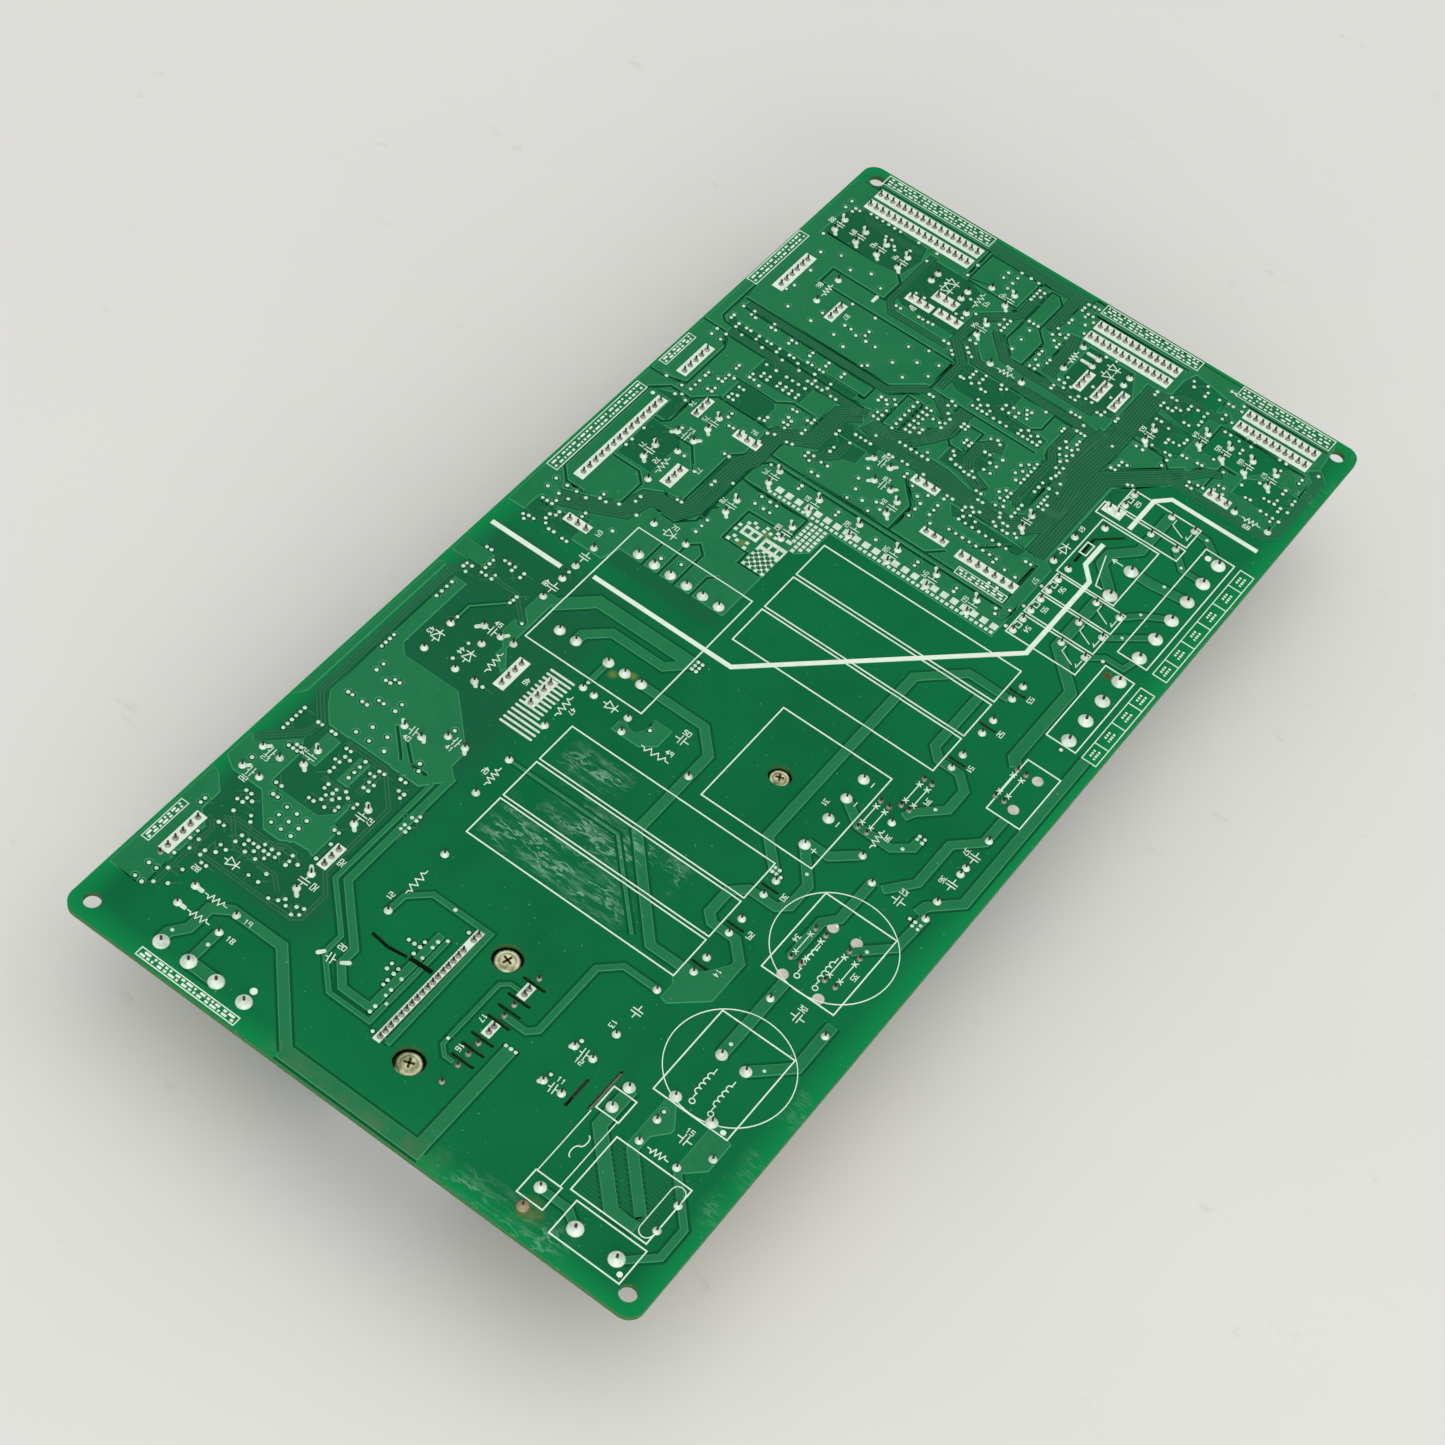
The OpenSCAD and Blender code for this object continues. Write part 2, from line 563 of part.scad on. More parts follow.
// Lying can with a rolled groove, a vent end and two bent leads
module bulk_capacitor(i) {
    axis_z = can_d / 2 + lift;
    r = can_d / 2;
    groove = 0.7;
    groove_at = 4;
    edge = 0.8;
    profile = [[0, 0], [r - edge, 0], [r, edge], [r, groove_at - groove], [r - groove, groove_at],
        [r, groove_at + groove], [r, can_l - edge], [r - edge, can_l], [r - 3 * edge, can_l],
        [r - 3.4 * edge, can_l - 0.4], [0, can_l - 0.4]];
    color("darkslateblue") hang(cans_at[i]) {
        translate([0, can_lead_gap, axis_z]) rotate([-90, 0, 0]) rotate_extrude() polygon(profile);
        for (s = [-1, 1]) translate([s * can_pitch / 2, 0, 0]) {
            cylinder(d = wire_d, h = axis_z);
            translate([0, 0, axis_z]) sphere(d = wire_d);
            translate([0, 0, axis_z]) rotate([-90, 0, 0]) cylinder(d = wire_d, h = can_lead_gap + edge);
        }
    }
}

module bulk_capacitor_1() { bulk_capacitor(0); }
module bulk_capacitor_2() { bulk_capacitor(1); }
module bulk_capacitor_3() { bulk_capacitor(2); }
module bulk_capacitor_4() { bulk_capacitor(3); }
module bulk_capacitor_5() { bulk_capacitor(4); }
module bulk_capacitor_6() { bulk_capacitor(5); }

// Transformer, its winding axis along x
window_l = core_l - 2 * core_end_t;
window_w = (core_w - 2 * outer_leg_w - centre_leg_w) / 2;
trafo_z = (rail_h + stand_h) / 2;
barrel = [window_l - 2 * fit, centre_leg_w + 2 * fit + 2 * bobbin_wall, core_t + 2 * fit + 2 * bobbin_wall];
flange = [bobbin_wall, centre_leg_w + 2 * window_w - 4 * fit, stand_h - rail_h];

module transformer_core() {
    color("darkslategray") hang(trafo_at) translate([0, 0, trafo_z - core_t / 2]) linear_extrude(core_t) difference() {
        plate([core_l, core_w], 1);
        for (s = [-1, 1]) translate([0, s * (centre_leg_w + window_w) / 2]) square([window_l, window_w], center = true);
    }
}

module transformer_bobbin() {
    rail_w = 7.4;
    rail_l = 5 * trafo_pin_step + 5;
    color("ivory") difference() {
        hang(trafo_at) {
            translate([0, 0, trafo_z]) cube(barrel, center = true);
            for (s = [-1, 1]) {
                translate([s * (barrel[0] - bobbin_wall) / 2, 0, 0]) slab(flange, rail_h);
                translate([s * trafo_pin_x, 0, 0]) slab([rail_w, rail_l, rail_h - lift], lift, 0.6);
                translate([s * trafo_pin_x, 0, 0]) slab([rail_w - 3, flange[1], 2 * cut], rail_h - cut);
            }
            for (p = trafo_pins) wire_post(p - trafo_at, lift + cut);
        }
        hang(trafo_at) translate([0, 0, trafo_z])
            cube([core_l, centre_leg_w + 2 * fit, core_t + 2 * fit], center = true);
    }
}

module transformer_winding() {
    inner = [barrel[1] + 2 * fit, barrel[2] + 2 * fit];
    length = barrel[0] - 2 * bobbin_wall - 2 * fit;
    color("goldenrod") hang(trafo_at) translate([-length / 2, 0, trafo_z]) rotate([90, 0, 90])
        linear_extrude(length) difference() {
            plate(inner + 2 * [winding_t, winding_t], 3);
            square(inner, center = true);
        }
}

// Line choke: toroid lying on a flat base, two windings around the ring
ring_mid = (toroid_od + toroid_id) / 4;
ring_w = (toroid_od - toroid_id) / 2;
choke_z = choke_base_t + choke_wire_t + toroid_h / 2 + 2 * fit;

module choke_core() {
    color("dimgray") hang(choke_at) translate([0, 0, choke_z]) rotate_extrude() translate([ring_mid, 0])
        plate([ring_w, toroid_h], 1);
}

module choke_windings() {
    span = 140;
    color("peru") hang(choke_at) translate([0, 0, choke_z]) for (a = [90, 270])
        rotate(a - span / 2) rotate_extrude(angle = span) translate([ring_mid, 0]) difference() {
            plate([ring_w + 2 * fit + 2 * choke_wire_t, toroid_h + 2 * fit + 2 * choke_wire_t], 2);
            plate([ring_w + 2 * fit, toroid_h + 2 * fit], 1);
        }
}

module choke_base() {
    post_r = 3;
    post_h = choke_base_t + choke_wire_t + 2 * fit;
    base_l = 25.4;
    base_w = 19.6;
    base_shift = 2.2;
    color("black") hang(choke_at) {
        translate([-base_shift, 0, 0]) slab([base_l, base_w, choke_base_t], 0, 1);
        for (s = [-1, 1]) translate([s * ring_mid, 0, 0]) cylinder(r = post_r, h = post_h);
    }
}

// Line fuse in two spring clips
fuse_z = fuse_d / 2 + 1.4;
cap_l = 6;

module fuse_caps() {
    color("silver") hang(fuse_at) translate([0, 0, fuse_z]) for (s = [-1, 1])
        translate([s * (fuse_l - cap_l) / 2, 0, 0]) rotate([0, 90, 0]) cylinder(d = fuse_d, h = cap_l, center = true);
}

module fuse_tube() {
    color("ivory") hang(fuse_at) translate([0, 0, fuse_z]) rotate([0, 90, 0])
        cylinder(d = fuse_d - 0.5, h = fuse_l - 2 * cap_l, center = true);
}

module fuse_clips() {
    clip_l = 4.6;
    clip_t = 0.6;
    r = fuse_d / 2 + fit;
    mouth = fuse_d * 0.72;
    color("goldenrod") for (p = fuse_pins) hang(p) translate([clip_l / 2, 0, 0]) rotate([0, -90, 0])
        linear_extrude(clip_l) difference() {
            union() {
                translate([fuse_z, 0]) circle(r + clip_t);
                translate([(fuse_z - r) / 2, 0]) square([fuse_z - r, 3], center = true);
            }
            translate([fuse_z, 0]) circle(r);
            translate([fuse_z + r / 2 + 1, 0]) square([r + 2, mouth], center = true);
        }
}

// Varistor lying flat on bent leads
module varistor() {
    disc_d = 15.5;
    disc_t = 5;
    disc_gap = 4.4;
    z = disc_t / 2 + 2 * lift;
    pitch = norm(varistor_pins[1] - varistor_pins[0]);
    color("royalblue") hang(mid(varistor_pins[0], varistor_pins[1])) {
        translate([0, disc_gap + disc_d / 2, z]) rotate_extrude() polygon([[0, -disc_t / 2],
            [disc_d / 2 - 1.2, -disc_t / 2], [disc_d / 2, -disc_t / 4], [disc_d / 2, disc_t / 4],
            [disc_d / 2 - 1.2, disc_t / 2], [0, disc_t / 2]]);
        for (s = [-1, 1]) translate([s * pitch / 2, 0, 0]) {
            cylinder(d = wire_d, h = z);
            translate([0, 0, z]) sphere(d = wire_d);
            translate([0, 0, z]) rotate([-90, 0, 0]) cylinder(d = wire_d, h = disc_gap + disc_d / 4);
        }
    }
}

// Box film capacitor standing on two leads
module film_capacitor(p, turn, size) {
    hang(p, turn) {
        slab(size, lift, 0.8);
        for (s = [-1, 1]) wire_post([s * film_pitch / 2, 0], lift + cut);
    }
}

module film_capacitors() {
    color("gold") {
        for (p = film_at) film_capacitor(p, 90, [18, 8.4, 15]);
        film_capacitor(snubber_at, 0, [18, 6, 12]);
    }
}

// Coated disc standing on edge
module disc_capacitor(p, pitch, d, t) {
    rise = 2.4;
    hang(p) {
        translate([0, 0, rise + d / 2]) rotate([90, 0, 0]) cylinder(d = d, h = t, center = true);
        for (s = [-1, 1]) translate([s * pitch / 2, 0, 0]) {
            cylinder(d = wire_d, h = rise + d / 2);
            translate([0, 0, rise + d / 2]) sphere(d = wire_d);
            translate([0, 0, rise + d / 2]) rotate([0, -s * 90, 0]) cylinder(d = wire_d, h = pitch / 2 - d / 4);
        }
    }
}

module disc_capacitors() {
    color("steelblue") for (p = disc_at) disc_capacitor(p, p[2], 7, 4);
}

module ceramic_capacitors() {
    color("chocolate") for (p = ceramics_at) disc_capacitor(p, radial_pitch, 4.6, 2.6);
}

// Relay case with a seam above its base and leads to the board
module relay(p, size, pins) {
    seam_z = 1.6;
    seam_t = 0.3;
    hang(p) {
        difference() {
            slab(size, lift, 0.6);
            translate([0, 0, seam_z]) linear_extrude(seam_t) difference() {
                square([size[0] + cut, size[1] + cut], center = true);
                square([size[0] - 2 * seam_t, size[1] - 2 * seam_t], center = true);
            }
        }
        for (q = pins) wire_post(q, lift + cut);
    }
}

module slim_relay(i) {
    color("gold") relay(slim_relays_at[i], [slim_relay_w, slim_relay_l, slim_relay_h], slim_pins);
}

module slim_relay_1() { slim_relay(0); }
module slim_relay_2() { slim_relay(1); }
module slim_relay_3() { slim_relay(2); }
module slim_relay_4() { slim_relay(3); }

module power_relay() {
    color("black") relay(power_relay_at, [power_relay_w, power_relay_l, power_relay_h],
        concat(power_relay_coil, power_relay_contacts));
}

module solid_state_relay() {
    color("dimgray") relay(ssr_at, [ssr_w, ssr_l, ssr_h], ssr_pins);
}

// Open header with a floor, a locking wall behind the pins and ribs at its ends; pins run along local x
module wafer(p, turn, n, pitch, front, back, ends) {
    length = (n - 1) * pitch + 2 * ends;
    depth = front + back;
    lip = housing_wall * 0.8;
    hang(p, turn) translate([(n - 1) * pitch / 2, (back - front) / 2, 0]) {
        slab([length, depth, housing_floor]);
        translate([0, (depth - housing_wall) / 2, 0]) slab([length, housing_wall, lock_h]);
        translate([0, depth / 2 - housing_wall - lip / 2, lock_h - 2 * lip]) slab([length * 0.6, lip, lip]);
        for (s = [-1, 1]) translate([s * (length - housing_wall) / 2, depth / 2 - depth / 4, 0])
            slab([housing_wall, depth / 2, lock_h * 0.7]);
    }
}

module ac_inlet() {
    color("ivory") wafer(inlet_at, -90, 2, inlet_pitch, 4.2, 5.5, inlet_end);
}

module compressor_connector() {
    color("ivory") wafer(compressor_at, -90, 4, power_pitch, 3.2, 5.4, power_end);
}

module load_connector_4() {
    color("ivory") wafer(load_4_at, 0, 4, power_pitch, 3.2, 5.4, power_end);
}

module load_connector_6() {
    color("ivory") wafer(load_6_at, 0, 6, power_pitch, 3.2, 5.4, power_end);
}

module power_pins() {
    pin_d = 1.4;
    pins = concat(inlet_pins, compressor_pins, load_4_pins, load_6_pins);
    color("silver") for (p = pins) hang(p) translate([0, 0, housing_floor]) {
        cylinder(d = pin_d, h = lock_h - housing_floor - 2);
        translate([0, 0, lock_h - housing_floor - 2]) cylinder(d1 = pin_d, d2 = pin_d / 2, h = 1);
    }
}

module single_row_header(p, turn, n) {
    color("ivory") wafer(p, turn, n, header_pitch, 2.4, 3.2, 1.6);
}

module header_14() { single_row_header(header_14_at, 180, 14); }
module header_6() { single_row_header(header_6_at, 180, 6); }
module header_6_wide() { single_row_header(header_6_wide_at, 180, 6); }
module header_5() { single_row_header(header_5_at, 180, 5); }
module header_7() { single_row_header(header_7_at, 90, 7); }

// Two-row header: a tray with four walls, and a key slot in the wall towards the board's edge
module dual_header(p, n) {
    outer = [dual_row_gap + 2 * dual_side, (n - 1) * dual_pitch + 2 * dual_end];
    key_w = 4;
    color("ivory") hang(p) difference() {
        slab([outer[0], outer[1], dual_h]);
        translate([0, 0, housing_floor]) slab([outer[0] - 2 * housing_wall, outer[1] - 2 * housing_wall, dual_h]);
        translate([outer[0] / 2, 0, housing_floor + 2]) slab([4 * housing_wall, key_w, dual_h]);
    }
}

module header_34() { dual_header(header_34_at, 17); }
module header_26() { dual_header(header_26_at, 13); }
module header_22() { dual_header(header_22_at, 11); }

module header_pins() {
    pin_w = 0.6;
    color("silver") {
        for (p = two_row_pins) hang(p) slab([pin_w, pin_w, dual_h - housing_floor - 1.5], housing_floor);
        for (p = one_row_pins) hang(p) slab([pin_w, pin_w, lock_h - housing_floor - 1], housing_floor);
    }
}

// Bent wires and axial bodies
module wire_bridge(length, rise) {
    for (s = [-1, 1]) translate([s * length / 2, 0, 0]) {
        cylinder(d = wire_d, h = rise);
        translate([0, 0, rise]) sphere(d = wire_d);
    }
    translate([0, 0, rise]) rotate([0, 90, 0]) cylinder(d = wire_d, h = length, center = true);
}

module axial(ends, d, l, collar) {
    span = ends[1] - ends[0];
    rise = d / 2 + collar + lift;
    hang(mid(ends[0], ends[1]), atan2(span[1], span[0])) {
        wire_bridge(norm(span), rise);
        translate([0, 0, rise]) rotate([0, 90, 0]) {
            cylinder(d = d, h = l, center = true);
            if (collar > 0) for (s = [-1, 1]) translate([0, 0, s * (l / 2 - collar * 4)])
                cylinder(d = d + 2 * collar, h = collar * 8, center = true);
        }
    }
}

module wire_jumpers() {
    color("silver") for (e = jumpers_at) hang(mid(e[0], e[1])) wire_bridge(norm(e[1] - e[0]), wire_d / 2 + lift);
}

module axial_resistors() {
    color("lightsteelblue") for (e = resistors_at) axial(e, 3, min(9, norm(e[1] - e[0]) * 0.66), 0.25);
}

module axial_diodes() {
    color("dimgray") for (e = diodes_at) axial(e, 2.6, 5, 0);
}

module radial_capacitors() {
    edge = 0.5;
    color("darkslateblue") for (p = radials_at) hang(p, p[2]) {
        r = p[3] / 2;
        translate([0, 0, lift]) rotate_extrude() polygon([[0, 0], [r - edge, 0], [r, edge], [r, 1.6], [r - edge, 2],
            [r, 2.4], [r, radial_h - edge], [r - edge, radial_h], [r - 3 * edge, radial_h],
            [r - 3 * edge, radial_h - 0.3], [0, radial_h - 0.3]]);
        for (s = [-1, 1]) wire_post([s * radial_pitch / 2 * min(1, (p[3] - 1.4) / radial_pitch), 0], lift + cut);
    }
}

// D-shaped case with three straight leads
module small_transistors() {
    case_d = 4.8;
    case_h = 4.6;
    flat = 1.3;
    rise = 3;
    color("dimgray") for (p = transistors_at) hang(p, p[2]) {
        translate([0, 0, rise]) linear_extrude(case_h) intersection() {
            circle(d = case_d);
            translate([-case_d, -flat]) square([2 * case_d, case_d]);
        }
        for (i = [-1 : 1]) translate([i * transistor_pitch * 0.6, 0, 0]) cylinder(d = wire_d, h = rise + cut);
    }
}

// Supply IC with two rows of bent leads and an end notch
module supply_ic() {
    body = [9.8, 6.4, 3.4];
    lead_z = 2;
    reach = dip_row_y - body[1] / 2;
    color("dimgray") hang(dip_at) {
        difference() {
            slab(body, 0.5);
            translate([-body[0] / 2, 0, body[2]]) cylinder(r = 0.9, h = 2 * cut);
        }
        for (s = [-1, 1]) for (i = [0 : 3]) translate([(i - 1.5) * dip_pitch, 0, 0]) {
            translate([0, s * (dip_row_y - reach / 2), lead_z]) cube([1.3, reach + 0.3, 0.3], center = true);
            translate([0, s * dip_row_y, lead_z / 2]) cube([wire_d, 0.3, lead_z], center = true);
        }
    }
}

// Flat package with leads on the sides that are named
module flat_package(p, size, n, pitch, reach, sides) {
    lead_w = pitch * 0.45;
    lead_t = 0.25;
    hang(p) {
        slab(size, 0.15, 0.3);
        for (a = sides) rotate(a) for (i = [0 : n - 1]) translate([(i - (n - 1) / 2) * pitch, 0, 0]) {
            half = (a % 180 == 0 ? size[1] : size[0]) / 2;
            translate([0, half + reach / 2, 0]) slab([lead_w, reach, lead_t]);
            translate([0, half + lead_t / 2, 0]) slab([lead_w, 2 * lead_t, size[2] / 2]);
        }
    }
}

module controller_ics() {
    color("dimgray") for (p = controllers_at) flat_package(p, [12, 12, 1.5], 14, 0.8, 1.2, [0, 90, 180, 270]);
}

module driver_ics() {
    color("dimgray") for (p = drivers_at) flat_package(p, [9.9, 4, 1.5], 7, 1.27, 1, [0, 180]);
}

module chip_passives() {
    color("saddlebrown") for (p = chips_at) hang(p) slab([1.25, 2, 0.6]);
}

circuit_board();
legend_print();
power_joints();
lead_joints();
header_joints();
flat_pads();
power_module();
module_heat_sink();
module_screws();
bridge_rectifier();
bridge_heat_sink();
bridge_screw();
bulk_capacitor_1();
bulk_capacitor_2();
bulk_capacitor_3();
bulk_capacitor_4();
bulk_capacitor_5();
bulk_capacitor_6();
transformer_core();
transformer_bobbin();
transformer_winding();
choke_core();
choke_base();
choke_windings();
fuse_tube();
fuse_caps();
fuse_clips();
varistor();
film_capacitors();
disc_capacitors();
slim_relay_1();
slim_relay_2();
slim_relay_3();
slim_relay_4();
power_relay();
solid_state_relay();
ac_inlet();
compressor_connector();
load_connector_4();
load_connector_6();
power_pins();
header_34();
header_26();
header_22();
header_14();
header_7();
header_6();
header_6_wide();
header_5();
header_pins();
wire_jumpers();
axial_resistors();
axial_diodes();
radial_capacitors();
ceramic_capacitors();
small_transistors();
supply_ic();
controller_ics();
driver_ics();
chip_passives();
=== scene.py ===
"""Dresses the refrigerator control board for a studio picture.

The copper under the mask, the printed legend, the joints and the plated holes of the solder side are
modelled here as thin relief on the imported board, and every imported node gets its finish.
Places on the board are in millimetres from its corner at the power inlet.
"""
import json
import math
from types import SimpleNamespace

import bpy
from mathutils import Matrix, Vector
from mathutils.geometry import delaunay_2d_cdt


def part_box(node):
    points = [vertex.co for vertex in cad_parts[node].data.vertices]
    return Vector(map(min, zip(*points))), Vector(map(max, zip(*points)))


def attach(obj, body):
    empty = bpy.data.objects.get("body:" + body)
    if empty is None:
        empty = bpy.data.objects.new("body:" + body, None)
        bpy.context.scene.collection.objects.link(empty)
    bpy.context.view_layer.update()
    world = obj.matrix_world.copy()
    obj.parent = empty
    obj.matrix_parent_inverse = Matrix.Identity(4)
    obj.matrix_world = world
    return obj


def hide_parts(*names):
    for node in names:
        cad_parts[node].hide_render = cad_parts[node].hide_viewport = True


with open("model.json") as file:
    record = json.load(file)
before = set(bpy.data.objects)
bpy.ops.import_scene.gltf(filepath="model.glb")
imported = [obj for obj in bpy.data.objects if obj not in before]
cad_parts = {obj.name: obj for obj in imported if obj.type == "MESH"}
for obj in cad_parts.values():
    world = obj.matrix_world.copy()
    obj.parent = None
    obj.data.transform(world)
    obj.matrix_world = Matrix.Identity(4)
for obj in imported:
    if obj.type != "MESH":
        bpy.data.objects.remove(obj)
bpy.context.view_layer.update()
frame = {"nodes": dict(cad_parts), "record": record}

bl_info = {
    "name": "Control Board Dressing",
    "version": (1, 0, 0),
    "blender": (4, 2, 0),
    "location": "3D View > Sidebar > Board",
    "description": "Models the solder side of a control board and finishes its parts",
    "category": "Object",
}

MM = 0.001
BOARD_LOW, BOARD_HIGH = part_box("circuit_board")
BOARD_LENGTH = (BOARD_HIGH.x - BOARD_LOW.x) / MM
BOARD_WIDTH = (BOARD_HIGH.y - BOARD_LOW.y) / MM


# Flat outlines, all in millimetres on the board

def box(x0, y0, x1, y1):
    return [(x0, y0), (x1, y0), (x1, y1), (x0, y1)]


def arc(x, y, radius, start, end, steps):
    angles = [math.radians(start + (end - start) * k / steps) for k in range(steps + 1)]
    return [(x + radius * math.cos(a), y + radius * math.sin(a)) for a in angles]


def disc(x, y, radius, sides=12):
    return arc(x, y, radius, 0, 360, sides)[:-1]


def shifted(points, offset):
    """The line moved to its left by the offset, with mitred corners."""
    points = [Vector(p) for p in points]
    sides = []
    for a, b in zip(points, points[1:]):
        along = (b - a).normalized()
        sides.append(Vector((-along.y, along.x)))
    moved = [points[0] + sides[0] * offset]
    for point, a, b in zip(points[1:], sides, sides[1:]):
        moved.append(point + (a + b) * (offset / max(1 + a.dot(b), 0.25)))
    moved.append(points[-1] + sides[-1] * offset)
    return [tuple(p) for p in moved]


def ribbon(points, width):
    return shifted(points, -width / 2) + shifted(points, width / 2)[::-1]


def capsule(start, end, width):
    """A bar with round ends."""
    turn = math.degrees(math.atan2(end[1] - start[1], end[0] - start[0]))
    return (arc(*end, width / 2, turn - 90, turn + 90, 5) + arc(*start, width / 2, turn + 90, turn + 270, 5))


def outline(x0, y0, x1, y1, width):
    half = width / 2
    return [
        box(x0 - half, y0 - half, x1 + half, y0 + half),
        box(x0 - half, y1 - half, x1 + half, y1 + half),
        box(x0 - half, y0 - half, x0 + half, y1 + half),
        box(x1 - half, y0 - half, x1 + half, y1 + half),
    ]


def row(y, first, last, count):
    return [(first + (last - first) * k / (count - 1), y) for k in range(count)]


def column(x, first, last, count):
    return [(x, first + (last - first) * k / (count - 1)) for k in range(count)]


# Copper of the mains side: (width, line)
WIDE_TRACKS = (
    (3.4, ((44, 33.4), (32.6, 33.4), (17.9, 19.2), (17.9, 12.6))),
    (2.8, ((33, 25), (20.5, 13.3))),
    (2.0, ((10, 10.6), (15.8, 4.6), (24.2, 4.6), (34.5, 14))),
    (2.2, ((10, 23), (12.4, 26.5), (12.4, 33))),
    (3.0, ((63.8, 23.5), (88.5, 23.5))),
    (3.0, ((63.8, 16.8), (71.9, 8.7), (86, 8.7))),
    (2.6, ((94.6, 26.3), (106.8, 26.3), (110.3, 23.5), (123.4, 23.5))),
    (2.6, ((123.4, 20.6), (130.4, 15.3), (144.4, 15.3), (150.4, 9.5), (159, 9.5))),
    (2.6, ((104.6, 16.8), (112.4, 9.2), (123.4, 8.7))),
    (2.8, ((123.4, 10.8), (126.2, 10.2), (132.8, 3.8), (187, 3.8))),
    (2.7, ((80, 34.2), (85.6, 34.2), (90.3, 38.7), (90.3, 45.3), (92.3, 47.4), (99.8, 47.4), (103.3, 44),
           (103.3, 36.6), (105.6, 34.3), (113, 34.3), (121.8, 41.4))),
    (2.7, ((110.8, 42.2), (118.3, 49.3), (180, 49.3), (190, 39.6), (190, 28))),
    (2.8, ((122.8, 41.4), (122.8, 35.3), (128.2, 29.6))),
    (2.6, ((139, 41), (134.4, 34.8), (134.4, 25.6), (137.9, 21.6), (141, 21.6))),
    (2.6, ((143.7, 28.3), (146.5, 27), (152.4, 21.3), (159.6, 21.3), (163.1, 25), (163.1, 31), (166, 33.9),
           (185.5, 33.9))),
    (2.7, ((76.4, 43), (76.4, 52.4), (99.3, 73.2), (127.5, 73.2), (133.7, 79), (133.7, 98))),
    (1.0, ((75.9, 57.2), (95.6, 76), (95.6, 107.4))),
    (3.4, ((3, 59.5), (35.3, 59.5))),
    (4.4, ((2.9, 57.8), (2.9, 97))),
    (2.9, ((3.3, 96), (22.9, 114), (22.9, 128.2), (20, 132.3), (13.3, 132.3), (9.6, 135), (6.7, 135))),
    (2.4, ((6.7, 126.7), (16.6, 126.7))),
    (3.4, ((6.7, 127.5), (6.7, 119.1))),
    (1.2, ((24.4, 67), (24.4, 69.5), (26.5, 71.6), (46.2, 71.6), (47.9, 69.8), (47.9, 66))),
    (1.9, ((40.6, 66), (40.6, 59.7), (42.6, 57.8), (63.6, 57.8), (68, 53.4), (68, 44.2))),
    (1.4, ((48, 87.2), (20.5, 87.2), (20.5, 98.6), (27.8, 105.9), (33.4, 105.9), (44.2, 116.7), (78, 116.7),
           (82, 120.5))),
    (2.2, ((48, 89.3), (23.3, 89.3), (23.3, 97.2), (28, 101.4), (32.5, 101.4), (45.6, 114.2), (83, 114.2))),
    (1.7, ((45.2, 102.3), (50.6, 102), (55.1, 97.4), (55.1, 81.2), (18.6, 80.7))),
    (1.2, ((19.1, 83), (19.1, 80.7))),
    (2.9, ((133.6, 117.3), (136.4, 117.3), (141.5, 112.2), (141.5, 96.9), (145, 93.6), (147, 93.6))),
    (3.9, ((138.6, 128.6), (147, 120.4), (147, 91))),
    (1.6, ((125.7, 107.5), (133.6, 107.5))),
    (0.6, ((117.9, 143), (125, 143), (132.3, 136.3))),
    (3.2, ((173.8, 15.6), (176, 17.5), (202, 17.5), (210, 25.6), (212, 27.6), (232, 27.6))),
    (1.8, ((213.5, 20.6), (217, 16.6), (217, 11.4), (222.7, 10))),
    (2.0, ((222, 20.6), (225, 17), (230.7, 10.4))),
    (2.0, ((230.3, 20.6), (234.6, 16.6), (238.6, 10.6))),
    (3.2, ((245.2, 26), (245.2, 20), (246.6, 10))),
    (2.0, ((254.6, 10), (254.6, 16.5), (259.3, 21.2))),
    (2.0, ((262.5, 10), (267.6, 16.6), (268, 20.6))),
    (3.0, ((236, 27), (242.4, 33.2), (246.5, 33.2), (252.5, 27.8), (268, 27.8))),
)

